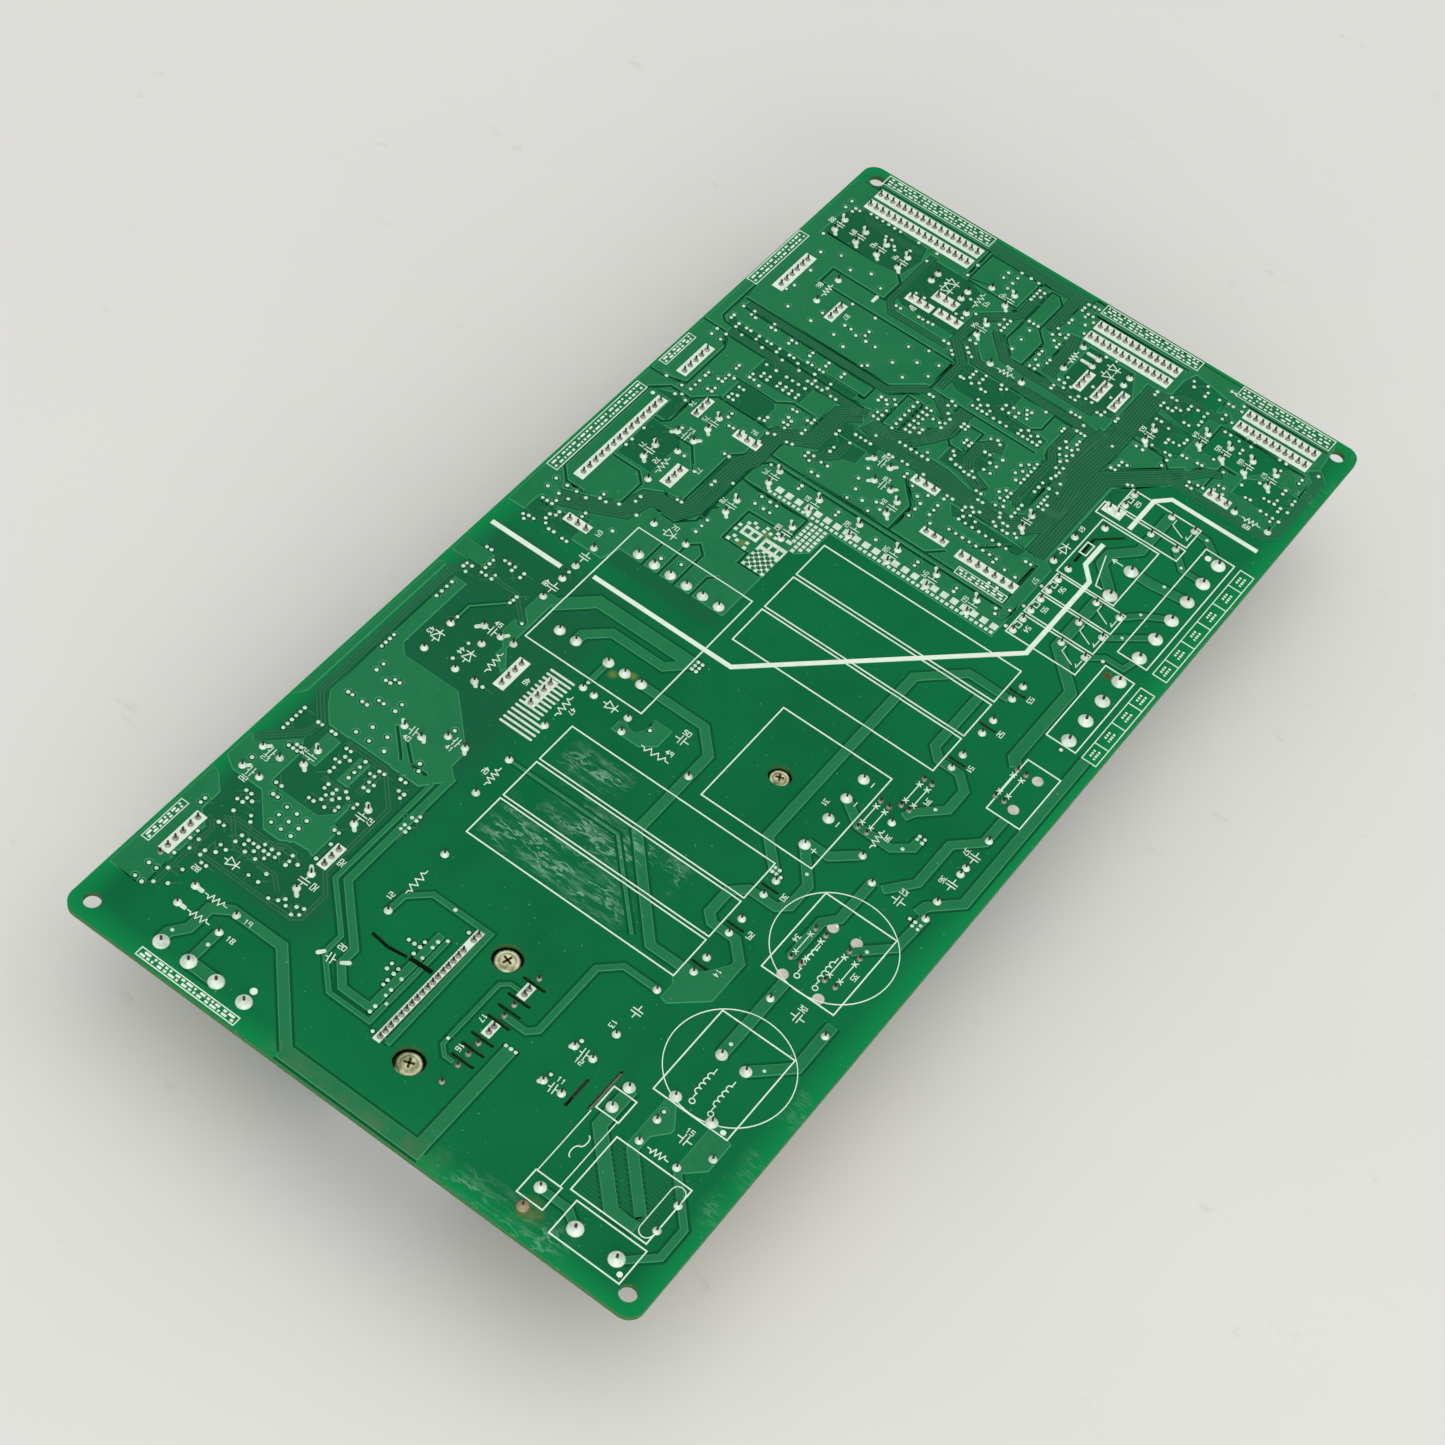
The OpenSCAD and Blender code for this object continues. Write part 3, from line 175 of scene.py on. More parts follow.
# Copper areas
POURS = (
    ((66.8, 42.6), (66.3, 40.5), (73.4, 32.9), (84, 32.9), (84, 35.5), (78, 39.5), (78, 43.6), (72.6, 43.6),
     (71.5, 42.6)),
    ((31.5, 23.2), (37.3, 23.2), (41, 20.2), (42.2, 20.2), (48, 24), (47.6, 26.4), (33, 26.4)),
    ((34, 13.2), (38.6, 8.6), (47, 8.6), (49.5, 13.5), (47.6, 14.8), (35, 14.8)),
    ((14.9, 147.5), (36, 147.5), (39, 151.2), (45.2, 151.2), (49.3, 155.4), (49.6, 157.3), (14.9, 157.3)),
    ((45, 124.2), (54.2, 124.2), (56, 126.4), (62.4, 126.4), (62.4, 128), (57.5, 128), (54.6, 130.6),
     (54.6, 143.2), (56, 144.6), (65.5, 144.6), (69.5, 147.2), (69.5, 149.5), (62, 157.2), (54, 157.2),
     (51.6, 153.5), (51.6, 144.8), (43.6, 137.4), (43.6, 131.5), (45.4, 130), (45.8, 126)),
    ((64.8, 130.5), (73.8, 130.5), (73.8, 133.8), (64.8, 133.8)),
    ((64.5, 139.8), (73.8, 139.8), (73.8, 143.9), (64.5, 143.9)),
    ((75.7, 118.6), (82.5, 113.2), (85.3, 116.3), (90.4, 116.3), (93, 118.6), (103.3, 128.8), (103.3, 145),
     (106, 147.6), (130, 147.6), (130, 151.5), (83.6, 151.5), (75.7, 146.3)),
    ((80, 155.2), (131.5, 155.2), (131.5, 157.3), (77, 157.3)),
    ((136, 148), (141.5, 148), (141.5, 157.3), (136, 157.3)),
    ((114, 124.8), (116, 124.6), (120.8, 128.2), (141.3, 128.2), (141.3, 130.4), (140, 132.5),
     (124.4, 132.5), (120.6, 129.4), (117.8, 129.4)),
    ((118.4, 87.2), (121.5, 83.7), (127.6, 83.7), (127.6, 89), (123.6, 89), (121.5, 90.2), (121.5, 92),
     (122.6, 93.6), (121.8, 95.3), (118.4, 95.3)),
    ((158, 128.2), (163.6, 126.6), (163.6, 95.2), (191.8, 95), (191.8, 93.3), (194.6, 90.5),
     (203.2, 90.5), (203.2, 41.6),
     (231.6, 41.6), (233.6, 44.2), (265.7, 44.2), (277, 33), (277, 6), (281, 2), (306, 2), (310, 6),
     (319.5, 6.8), (320.8, 8.5), (320.8, 150.6), (313.8, 150.6), (313.8, 157.3), (158, 157.3)),
)

# Bare patches in the copper areas
BARE_PATCHES = (
    ((222, 125.2), (228.5, 125.2), (229.6, 126.4), (229.6, 137.4), (222, 137.4)),
    ((282.5, 104.8), (301, 108), (302.5, 112), (302.5, 123.6), (283.8, 123.6), (282.5, 122)),
    ((291.5, 128), (299, 126.6), (304.8, 128), (304.8, 150), (300, 153), (290.5, 153), (290.5, 133)),
    ((266.6, 79), (276.5, 79), (276.5, 96), (268, 96), (266.6, 94)),
    ((286.6, 57.5), (296.5, 57), (304.6, 61), (304.6, 75), (291, 75), (286.6, 72)),
    ((296, 37.5), (314, 37.5), (316, 48), (312, 49.5), (299, 49.5)),
    ((189, 136), (202, 136), (204, 139), (204, 146.4), (189, 146.4)),
    ((206, 143.4), (214, 143.4), (215, 147), (212.6, 152.4), (212.4, 146.6), (206, 146.6)),
    ((232.6, 97), (235.6, 97), (237, 103), (237, 109), (232.6, 109)),
    ((286.5, 5.8), (296.6, 5.8), (296.6, 14), (292.6, 20), (286.5, 20)),
    ((229.8, 50.5), (232.6, 50), (232.6, 73), (229.8, 71)),
    ((243, 75), (249, 72.6), (252.6, 72.6), (252.6, 79), (248.6, 79), (248.6, 83.6), (243, 83.6)),
    ((243, 57.6), (262, 57.6), (262, 61.4), (243, 61.4)),
    ((264, 66), (268, 66), (268, 88), (264, 88)),
    ((286, 37), (295.6, 37), (297, 49.6), (286, 49.6)),
    ((293.4, 20.5), (304, 12), (304, 33), (293.4, 33)),
    ((227, 99), (232.2, 99), (232.2, 108.8), (224, 108.8)),
    ((234, 121.5), (240.6, 121.5), (240.6, 137), (234, 137)),
    ((245, 112), (247, 112), (247, 152), (245, 152)),
    ((156, 137.6), (166, 137.6), (163, 146), (163, 152), (156, 152)),
)

# Dividing lines in the copper areas: (width, line)
GAPS = (
    (0.5, ((187.3, 146.6), (187.3, 138.4), (184.3, 135.4), (175.5, 135.4))),
    (0.5, ((172.5, 145), (172.5, 150), (176.4, 153.6), (212.2, 153.6), (216.2, 149.6), (216.2, 143.6))),
    (0.5, ((204.8, 146.4), (204.8, 144.2), (206.5, 142.6), (217, 142.6), (221.4, 138.4), (221.4, 121.4))),
    (0.5, ((196.6, 128.2), (203.2, 133.4), (203.2, 138))),
    (0.5, ((163.4, 119.8), (172.4, 119.8))),
    (0.5, ((163.4, 115), (176, 115), (178.4, 112.7), (176, 110.2), (163.4, 110.2))),
    (0.5, ((163.4, 105.1), (171, 105.1), (173, 103))),
    (0.5, ((179.8, 126), (179.8, 121.9), (184, 118), (189.6, 118), (191.4, 116.3))),
    (0.5, ((186.2, 128), (186.2, 124.2), (207.5, 124.2), (210.8, 121.2))),
    (0.6, ((203.1, 117.5), (203.1, 97))),
    (0.6, ((212.7, 44.6), (212.7, 115), (209.6, 117.6), (185, 117.6))),
    (0.6, ((230.6, 45.3), (214.5, 45.3), (214.5, 116.8), (222, 116.8))),
    (0.6, ((214.5, 80.2), (225, 80.2), (232.4, 87))),
    (0.5, ((214.6, 69.2), (218.6, 65.4))),
    (0.5, ((224, 61), (231.6, 53.4))),
    (0.5, ((230.2, 139), (230.2, 126), (233, 122.6), (233, 116))),
    (0.5, ((217.8, 157.5), (217.8, 153.4), (220, 147.2), (237, 147.2), (241.6, 150.6), (241.6, 157.5))),
    (0.6, ((255.4, 153.6), (255.4, 107), (262.6, 99), (273.9, 99))),
    (0.6, ((274.1, 99.4), (274.1, 142.5), (280.5, 142.5), (280.5, 126), (288.6, 126), (292, 129.4))),
    (0.5, ((261, 154.4), (246, 154.4), (244.4, 152.6), (244.4, 108))),
    (0.5, ((247.4, 124), (247.4, 109.8), (252.2, 109.8), (252.2, 152))),
    (0.5, ((286, 88), (286, 85.4), (297, 85.4), (300.6, 88.8), (312.4, 88.8), (314.9, 91.2), (314.9, 93.6),
           (291.5, 93.6), (287, 89.4))),
    (0.5, ((302.8, 113.4), (302.8, 97.4), (315.3, 97.4), (315.3, 113.4), (303.6, 113.4))),
    (0.5, ((243, 101.9), (256, 101.9), (256, 97.1), (242.6, 97.1))),
    (0.5, ((249.2, 80.2), (249.2, 84.3), (250.8, 85.8), (258.4, 85.8), (258.4, 79.6), (250, 79.6))),
    (0.5, ((245, 62), (262, 62), (263.6, 63.6), (276.8, 63.6), (276.8, 69), (270.4, 69), (268.4, 71.2),
           (268.4, 78))),
    (0.5, ((262.2, 66), (262.2, 96))),
    (0.5, ((281.4, 28), (281.4, 36.6), (284.6, 40), (284.6, 52))),
    (0.5, ((292.4, 33.6), (304.6, 33.6), (304.6, 8))),
    (0.5, ((283, 26.4), (292.4, 26.4), (292.4, 22))),
    (0.4, ((304.9, 114.6), (316, 114.6), (316, 150.4))),
    (0.4, ((316, 50.4), (316, 80.6))),
    (0.4, ((316, 7.4), (316, 33))),
    (0.5, ((180.1, 95.8), (180.1, 102.3), (184.1, 102.3), (184.1, 109.9), (195.4, 109.9), (195.9, 97.2),
           (202.8, 97.2))),
    (0.5, ((79, 126.4), (80.2, 127.4), (86, 133.2))),
    (0.5, ((79.6, 118.8), (79.6, 123.6), (84.8, 129.5))),
)

# Bundles of fine traces: (number of traces, middle line)
BUNDLES = (
    (6, ((233, 47.8), (267, 47.8), (283, 31.8))),
    (3, ((276.6, 37), (278.9, 33.2), (278.9, 6.6), (281.6, 4), (305, 4), (308, 7))),
    (3, ((282, 32.6), (287.6, 28.4), (289.6, 25))),
    (8, ((246, 51.8), (262, 53.8), (280, 52.7), (304, 52.7))),
    (3, ((256, 55.4), (262, 57.3), (276, 57.3), (281, 55.8))),
    (3, ((244, 61.2), (263, 61.2), (265.4, 62.8), (276, 62.8))),
    (4, ((242, 69.5), (244.6, 75.5), (248.6, 77.8), (254, 77.8), (256.8, 75.4), (257.6, 72.6))),
    (5, ((240.4, 103), (242.4, 96), (247.5, 90), (252, 87.2), (262, 87.2))),
    (7, ((250, 51.8), (242, 52.6), (236.6, 58.6), (236.6, 72), (238.6, 80), (238.6, 97), (241.2, 104))),
    (3, ((243.4, 106), (242.6, 109), (242.6, 150))),
    (3, ((253.9, 152), (253.9, 107.4), (261, 99.8), (261, 95.6), (255.4, 88.2), (248.5, 88.2), (243, 92))),
    (3, ((264, 97.6), (275.4, 97.6), (281.6, 103.4), (293, 103.4), (299.4, 97), (302, 95.4), (314, 95.4))),
    (2, ((278, 104), (278, 122), (281.6, 124.8), (303.5, 124.8))),
    (3, ((284.9, 62), (284.9, 90), (292, 97))),
    (3, ((278.6, 58), (278.6, 95.2), (283.6, 100))),
    (5, ((318.2, 83), (318.2, 115.4))),
    (4, ((302.5, 87), (320, 87))),
    (6, ((167, 148), (170, 141), (174.4, 133.2), (181.4, 131.6), (183, 129), (183, 123.6), (187.4, 120.8),
         (206.4, 120.8), (210, 119.2), (221, 119.2), (226.2, 111.2), (238.6, 111.2), (242, 107))),
    (3, ((219.9, 110), (226, 104), (231, 104))),
    (3, ((302, 50.6), (306.4, 46), (306.4, 36), (309, 33.4))),
    (4, ((305.4, 80.4), (300, 78.8), (288, 78.4))),
    (3, ((304, 147), (302, 145), (302, 128))),
    (2, ((29.6, 146), (29.6, 117.3), (31.2, 115.4), (39.4, 115.4), (44, 119.6), (66.4, 119.6), (74.7, 127.6),
         (74.7, 139.2))),
    (3, ((62, 156), (71, 147.4), (75, 146.8), (82, 153.2), (131.4, 153.4), (134.6, 150.4))),
    (2, ((16.5, 146), (36.4, 146), (38.5, 148))),
    (2, ((33, 124), (36, 127.4), (36, 139), (42, 145))),
    (3, ((40, 146), (41.6, 143.6), (41.6, 132.6), (43, 130.6), (43, 127))),
    (3, ((65, 127.6), (72.4, 127.6))),
    (2, ((58.6, 131.6), (63.4, 131.6), (63.4, 137))),
    (2, ((129, 130), (135.6, 136.8), (135.6, 146))),
)

# Plated holes, by the area that they serve
VIAS = [
    # mains filter and bulk supply
    (35.65, 49), (33.5, 44), (46.65, 49), (44.65, 44), (44.2, 24.7), (67.35, 23.4), (66.6, 13.8),
    (108.35, 23), (107.1, 13.8), (121.1, 11.3), (119.8, 9.8), (121.1, 9.8), (119.8, 8.3), (121.1, 8.3),
    (110.8, 42.9), (112.1, 42.9), (110.8, 41.7), (112.1, 41.7), (110.7, 40.4), (115.4, 36.3), (136, 23.3),
    (140.6, 22.2), (141.7, 22.2), (140.4, 20.7), (141.7, 20.7), (150.5, 23.6), (145.65, 91.35),
    (146.95, 91.35), (148.3, 91.35), (145.65, 90.1), (146.95, 90.1), (148.3, 90.1), (168.2, 117.3),
    (170, 112.4), (124.2, 88), (185.6, 10.1),
    # compressor drive
    (19.1, 85.1), (52.4, 85.1), (33.4, 92.9), (35.1, 92.9), (42.3, 94), (42.3, 92.4), (29.7, 90.9),
    (31.2, 90.9), (33.3, 90.9), (34.9, 90.9), (40.2, 90.9), (42.4, 90.9), (44.1, 90.9), (22.5, 88.7),
    (24.3, 88.7), (27.9, 88.7), (29.7, 88.7), (33.3, 88.7), (40.5, 88.7), (44.1, 88.7), (46, 88.7),
    (26.3, 87.2), (47.6, 87.2), (55.1, 91.1), (28.3, 71.6), (35, 60.9), (35, 59.5), (35, 58.2),
    (10.5, 134.7), (12.7, 126.3),
    # drive logic
    (15.9, 150.4), (20.4, 150.4), (15.6, 148.2), (20.4, 148.2), (26, 148), (31.3, 148), (33.8, 148),
    (17.3, 146.3), (22.1, 146.3), (29.1, 146.3), (32.2, 146.3), (19, 143.6), (23.8, 143.6), (29.3, 143.3),
    (30.9, 143.3), (27.9, 141.7), (27.9, 140.3), (32.1, 141.2), (34.3, 141.7), (34, 139.9), (38.7, 146.1),
    (38.7, 144.6), (37.1, 139.8), (39.3, 139.8), (37.8, 137.8), (39.3, 137.8), (36.4, 136.4), (39.3, 136.4),
    (37.8, 135), (39.3, 135), (40.8, 134.3), (36.4, 133.4), (39.3, 133.4), (37.8, 132), (39.3, 132),
    (40.8, 132.3), (39.6, 130.4), (40.9, 130.4), (39.6, 127.3), (40.9, 127.3), (42.5, 127.7), (41.4, 125.3),
    (32.2, 131.7), (32.2, 128.9), (35, 128.9), (30.4, 124.4), (31.4, 122.4), (32.7, 121.4), (31.4, 120.2),
    (30.4, 117.8), (32.7, 118.2), (31.5, 116.4), (33.4, 116.6), (43.2, 145.7), (46.2, 147.2), (49.3, 147.2),
    (46.3, 145.7), (47.8, 145.7), (49.3, 145.7), (47.8, 144.2), (44.7, 141.8), (43.3, 140.8), (52.5, 142),
    (52.5, 140.7), (55.4, 143.6), (55.4, 142), (57, 135.3), (57, 133.9), (58.5, 132.9), (60.1, 132.9),
    (57.3, 131), (60, 131), (61.4, 134.4), (62.8, 134.4), (61.4, 132), (62.8, 132), (61.4, 130),
    (63.8, 130), (58.1, 128.6), (59.4, 128.6), (62.7, 128.6), (61.4, 125.9), (62.8, 125.9), (54, 125.2),
    (54, 123.9), (50.5, 123.3), (45.4, 123.3), (40.1, 152.7), (41.6, 152.7), (57.1, 152.3),
    *[(x, y) for x in (46.3, 49, 51.8) for y in (137.3, 134.4, 131.5)],
    # controller of the drive
    *row(152.5, 68.2, 75.8, 6), *row(150.8, 101.6, 106.2, 4), *row(150.8, 122.2, 128, 4), (86, 148),
    (86, 146.7), (86, 143.7), (86, 142.3), (88.8, 141), (88.8, 139.6), (95.4, 147.2), (97.8, 147.1),
    (94.4, 143.6), (94.5, 142.3), (96, 142.1), (96, 140.7), (88.9, 136.2), (91.4, 136.2), (78.3, 139.2),
    (81.9, 137.2), (78.3, 135.3), (81.9, 132.8), (78.3, 130.8), (65.2, 148.3), (65.2, 147), (66.6, 147),
    (65.2, 145.8), (66.6, 145.8), (74.7, 147.5), (74.7, 146.3), (74.7, 143.5), (74.7, 142.3), (69.2, 137.8),
    (73.2, 137.8), (65.7, 136.5), *row(136.5, 67.2, 73.2, 4), (71.1, 135), *row(132.1, 67.2, 73.2, 4),
    (71.3, 129.2), (71.3, 127.9), (67.3, 127.8), (69.3, 127.8), (73.2, 128), (67.3, 126.4), (69.3, 126.4),
    (73.3, 126.6), (74.7, 122.9), (74.7, 121.5), (71.9, 121.2), (71.9, 119.6), (70.5, 119.7), (79.2, 121.3),
    (81, 122.4), (64.1, 114.2), (65.5, 114.2), (64.1, 112.9), (65.5, 112.9), (68.1, 114.2), (68.1, 112.9),
    (69.5, 112.9), (120.5, 143), (108, 125.4), (125.7, 107.5), (93.7, 122.3), (110, 136), (116, 136),
    # supply
    (128, 150.7), (133.7, 151.8), (135, 151.7), (132.7, 150.3), (135.1, 150.2), (135.1, 147.3),
    (136.9, 147.5), (138.5, 147.5), (140, 147.5), (135.1, 145.9), (135.1, 144.2), (136.6, 144.2),
    (142.3, 151.3), (142.3, 149.9), (141.8, 145.3), (141.8, 143.9), (140.5, 142.2), (141.9, 142.2),
    (140.1, 139.3), (141.7, 139.3), (132.3, 136.3), (133.5, 136.2), (134.8, 136.2), (129.2, 130.2),
    (149.5, 131.5), (167.1, 131.5), (156.6, 151.3), (155.5, 150.2), (157.1, 149.9), (157.1, 148.4),
    (159.3, 146.3), (161, 146.3), (158, 145.3), (157, 143.6), (157.1, 142.1), (164, 150.9), (164, 149.5),
    (164, 148), (165.5, 147.8), (161.7, 145), (163.1, 145), (156.8, 139.3), (156.8, 137.9), (167.9, 152.3),
    (171.3, 152.3), (167.8, 148.8), (171.3, 148.8), (167.9, 145.9), (171.3, 145.9), (171.2, 142.9),
    (165.7, 139.9), (167.2, 139.9), (173.5, 140.2), (175.2, 140.3), (173.5, 138.4), (175.2, 135.5),
    (178.7, 133), (180.8, 133), (175.2, 130.1), (186.3, 125.6), (186.3, 124.3), (181, 116), (183.5, 116),
    (186, 116),
    # relays
    (215.6, 16.5), (225.2, 16.7), (234.8, 17), (246.7, 17.1), (255, 17), (267.6, 16.6), (208.7, 40.9),
    (217.1, 40.9), (225.6, 40.9), (269.6, 42), (270.3, 40.9), (210.1, 104.9), (211.5, 104.8), (209.3, 92.9),
    (210.7, 92.9), (209.6, 80.7), (209.3, 68.7), (210.8, 68.7), (209, 56.7), (210.4, 56.7), (210.1, 45),
    (211.7, 45.8), (213.5, 42.8), (217.4, 51.5), (217.4, 49.1), (223.6, 50.8), (223.4, 47.5), (229.6, 48.2),
    (229.6, 46.7),
    # main controller
    (217, 105.7), (217, 103.7), (221.4, 105.7), (221.4, 103.7), (226, 106.1), (227.8, 106.1),
    (231.9, 103.9), *column(235.3, 104.4, 99.8, 4), (238.6, 100.3), (223.5, 95.5), (228, 95.5), (216.1, 94),
    (220, 94), (218, 90.6), (216.1, 87.6), (220, 87.6), (218.5, 85.5), (232, 87), (233.4, 87),
    (228.8, 80.8), (222, 78.9), (224.8, 78.9), (227.3, 78.9), (230.9, 83.7), (230.9, 78.9), (225.8, 75.1),
    (227.8, 75.1), (229.8, 75.2), (232.7, 75.2), (234.2, 75.2), (223.5, 73.4), (234.2, 73.5),
    *column(225.2, 68.7, 54.3, 8), *column(229.7, 68.7, 54.3, 8), (223.7, 54.4), (231.2, 68.3),
    (232.8, 69.6), (234.2, 69.6), (235.3, 68.3), (232.7, 67.1), (234.2, 67.1), (235.3, 65.9), (231.8, 65),
    (238.5, 68.5), (238.5, 67.1), (240.8, 70.5), (240.7, 69), (241.1, 62.4), (240.1, 64.2), (238.7, 61.8),
    (237.4, 61.1), (235, 61.5), (234.2, 60.3), (236.3, 59.4), (236.3, 58), (234.2, 58.2), (234.2, 56.8),
    (235.4, 55.3), (234.6, 54.2), *row(59, 239.7, 244.7, 4), (242.9, 64.6), (244.6, 65.9), (246.2, 64.7),
    *row(63.3, 242.9, 246.2, 3), *row(63.3, 250.9, 257.7, 5), (250.9, 64.8), (252.9, 66.2), (254.6, 65),
    (256.1, 66.5), (257.7, 65), *row(59, 250.9, 254.9, 3), (257.7, 58.2), (254.3, 56.7),
    *row(55.6, 247.2, 251.7, 4), (247.2, 54.1), (249.2, 54.1), (254.5, 54.3), (257.7, 55.3), (243.8, 104.6),
    (245.7, 104.6), (243.7, 103.1), (245.6, 103.1), (247.7, 103.1), (249.6, 104.2), (250.8, 105.3),
    (252.4, 103.7), (251.1, 102.5), (249.3, 106.8), *row(98.7, 243.7, 255.8, 7),
    *row(95.8, 245.7, 255.8, 6), *row(94.4, 245.7, 255.8, 6), (247.2, 92.4), (248.7, 92.4), (253.7, 92.4),
    (253.8, 90.4), (252.6, 89.2), (254.6, 89.2), (256.6, 89.1), (258.1, 90.5), *column(241, 94.4, 85.7, 6),
    (243, 87.1), (235.5, 94.2), (235.5, 93), (236, 90.3), (236, 88.7), (236, 83.7), (252.4, 81.8),
    (253.7, 81.8), (252.4, 80.3), (253.7, 80.3), (256.5, 85.4), (257.9, 85.4), (256.5, 84.1), (257.9, 84.1),
    (245.3, 81.3), (247, 81.3), (248, 82.3), (244.6, 79.3), (244.6, 77.9), (244, 76.4), (244, 74.9),
    (245.6, 74.9), (244.1, 73.4), (253.5, 76), (253.5, 74.5), (248.2, 73), (251.2, 73), (248.2, 71),
    (251.2, 71), (254.3, 71), (258.4, 77.3), (258.3, 74.4),
    # sensor inputs
    (218.3, 152.6), (218.3, 147.7), (238.4, 152.7), (240.9, 152.7), (238.4, 149.8), (240.9, 149.8),
    (214.7, 147.2), (215.8, 145.8), (214.7, 143.9), *row(145.2, 218.8, 222.8, 3), (225.3, 145.2),
    (226.7, 145.2), (221.9, 142), (221.9, 140.7), (223.4, 140.7), (226.6, 142), (226.6, 140.7),
    (228, 140.7), (229.6, 140.7), (229.6, 139.1), (232.8, 140.7), (234.2, 140.7), (223.3, 136.3),
    (224.8, 136.3), (223.3, 134.9), (225.3, 134.9), (228, 136.3), (228, 134.9), (232.7, 136.3),
    (234.2, 136.3), (232.7, 134.9), (231.9, 132.8), (235, 134.3), (236.4, 134.3), (235, 132.4),
    (236.5, 132.4), (239.4, 135.6), (239.4, 132.5),
    *[(x, y) for x in (235, 236.4, 239.4) for y in (129.2, 127.3, 125.4, 123.3)], (222.7, 126.1),
    (223, 124.7), (224.5, 124.7), (231.2, 121.5), (231.3, 120.2), (220, 121.6), (220.9, 120),
    (225.9, 120.7), (228.2, 120.7), (224.5, 119.4), (226, 119.4), (227.6, 119.4), (220.9, 116.2),
    (221.3, 114.7), (226, 115), (227.6, 115), (230.7, 116.5), (230.7, 115.2), (232.1, 115.2), (220.3, 110),
    (221.8, 110), (219.7, 108.3), (221.8, 108.3), (231.9, 108.3), (233.5, 108.3),
    *[(x, y) for x in (198.6, 201.6) for y in (110.3, 107.7, 105.7)], (196.1, 122.1), (197.6, 122.1),
    (200.2, 118.3), (206.8, 125.7), (206.8, 124.3), (215.3, 130.4), (215.4, 129.1), (217.6, 132.3),
    (219.2, 132.3), (216.2, 126.5), (216.3, 121.6), (211.9, 114.7), (196.7, 127.9), (199.2, 132.9),
    (198.4, 141.7), (192.2, 146.1), (194.7, 146.1), (199.8, 146.1), (203.7, 140), (206.5, 138.9),
    (205.8, 133), (246.7, 152.3), (248, 152.3), (252.4, 152.3), (244.9, 149.5), (246.4, 149.5),
    (251.3, 149), (252.9, 149), (251.1, 147.5), (243.5, 146.6), (246.4, 147.1), (246.4, 145.7),
    (244.9, 142.9), (246.4, 142.9), (251.1, 142.4), (252.7, 142.4), (251.1, 141), (243.5, 140),
    (246.3, 140.4), (246.3, 139), (244.9, 136.3), (246.4, 136.3), (249.6, 135.7), (251.1, 135.7),
    (251.1, 134.2), (243.5, 133.5), (246.3, 133.1), (246.3, 131.7), (245.4, 129.8), (249.8, 129),
    (251.2, 129), (243.5, 128.1), (247.5, 128.1), (247.5, 126.7), (242, 124.3), (245.3, 124.3),
    (247.5, 124.3), (242, 122.9), (243.5, 122.9), (247.5, 123.1), (249.7, 123.8), (251.2, 123.8),
    (242, 121.3), (242, 119.7), (243.5, 119), (245.3, 119.2), (249.3, 118.6), (250.8, 118.6),
    (241.8, 116.8), (241.8, 115.2), (250.8, 106.8), (256.4, 116.9), (257.5, 115.8), (258.6, 124.4),
    # lower header
    (278.3, 52), (302, 53), (303.4, 53), (299.7, 49.8), (301.1, 49.7), (304.3, 49), (304.3, 47.5),
    (300.2, 47.9), (300.3, 46.5), (301.9, 46.3), (301.9, 44.9), (303.7, 43.5), (305.2, 43.5), (305.2, 41.4),
    (298.8, 42), (298.8, 40.5), (300.7, 38.6), (302.3, 38.6), (304.3, 39), (306, 38.9), (311.8, 46.5),
    (313.6, 47.5), (314.6, 43.7), (310.9, 42.5), (312.5, 42.5), (312.5, 38.9), (317.5, 37.9), (317.5, 36.8),
    (313, 36.3), (313, 34.9), (307, 34.9), (309, 34.9), (315.1, 32.7), (307.7, 32.3), (313, 32.2),
    (271.7, 48.4), (271.8, 47.2), (273.8, 47.2), (275.3, 47.2), (275.3, 45.6), (282.8, 47.3), (282.8, 45.3),
    (286, 44.3), (294.8, 48.2), (294.9, 46.7), (294.1, 44), (289.2, 42), (290.7, 42), (290.7, 40.5),
    (286.2, 40.4), (286.2, 38.9), (290.9, 38.8), (292.5, 38.2), (294, 38.2), (281.6, 38.7), (284.1, 38.6),
    (288.4, 36.4), (288.4, 35), (288.9, 32), (289, 30.7), (280.1, 30.1), (281.7, 30.3), (280.1, 28.8),
    (282.3, 28), (282.3, 26.5), (284, 24), (286, 23.8), (286, 22.3), (284, 21.5), (293, 29.4),
    (290.9, 25.2), (290.4, 19.3), (287.3, 16.4), (287.5, 15), (294.3, 16), (301.9, 13.9), (305.1, 16),
    (305.1, 14), (303.3, 27.5), (303.6, 32), (303.6, 30.3), (299.7, 25.2), (301.2, 25.2), (303.8, 24.1),
    (306, 26.2), (306, 24.1), *column(286, 11.1, 5.6, 4), (284.5, 7.4), (288.9, 7.5), (290.4, 7.5),
    (290.4, 12.5), (290.4, 11), (290.6, 9.5), (292.2, 9.5), (295.2, 9.5), (296.8, 9.5), (301.4, 8),
    (303, 8), (293.7, 5.8), (295.2, 5.8), (290.4, 5.4), (307.2, 5.3),
    # middle header
    (265.4, 101.7), (270.6, 101.7), (267.5, 106.6), (273.2, 106.6), (279.1, 105.7), (279.1, 104.2),
    (277.5, 102.3), (276.5, 101.2), (260.3, 97.9), (260.3, 96.7), (260.4, 92.1), (262.4, 92.1),
    (261.7, 90.6), (256.7, 89), (271.3, 95.3), (271.3, 94.3), (271.3, 91.8), (271.3, 88.8), (271.3, 87.4),
    *row(93.2, 272.8, 275.8, 3), *row(90.3, 272.8, 276.3, 3), (281.3, 99.7), (280.1, 98.4), (279.3, 97),
    (284.2, 100.6), (284.2, 98.8), *column(264.9, 87.3, 82.8, 4), *column(264.9, 80.7, 76.7, 3),
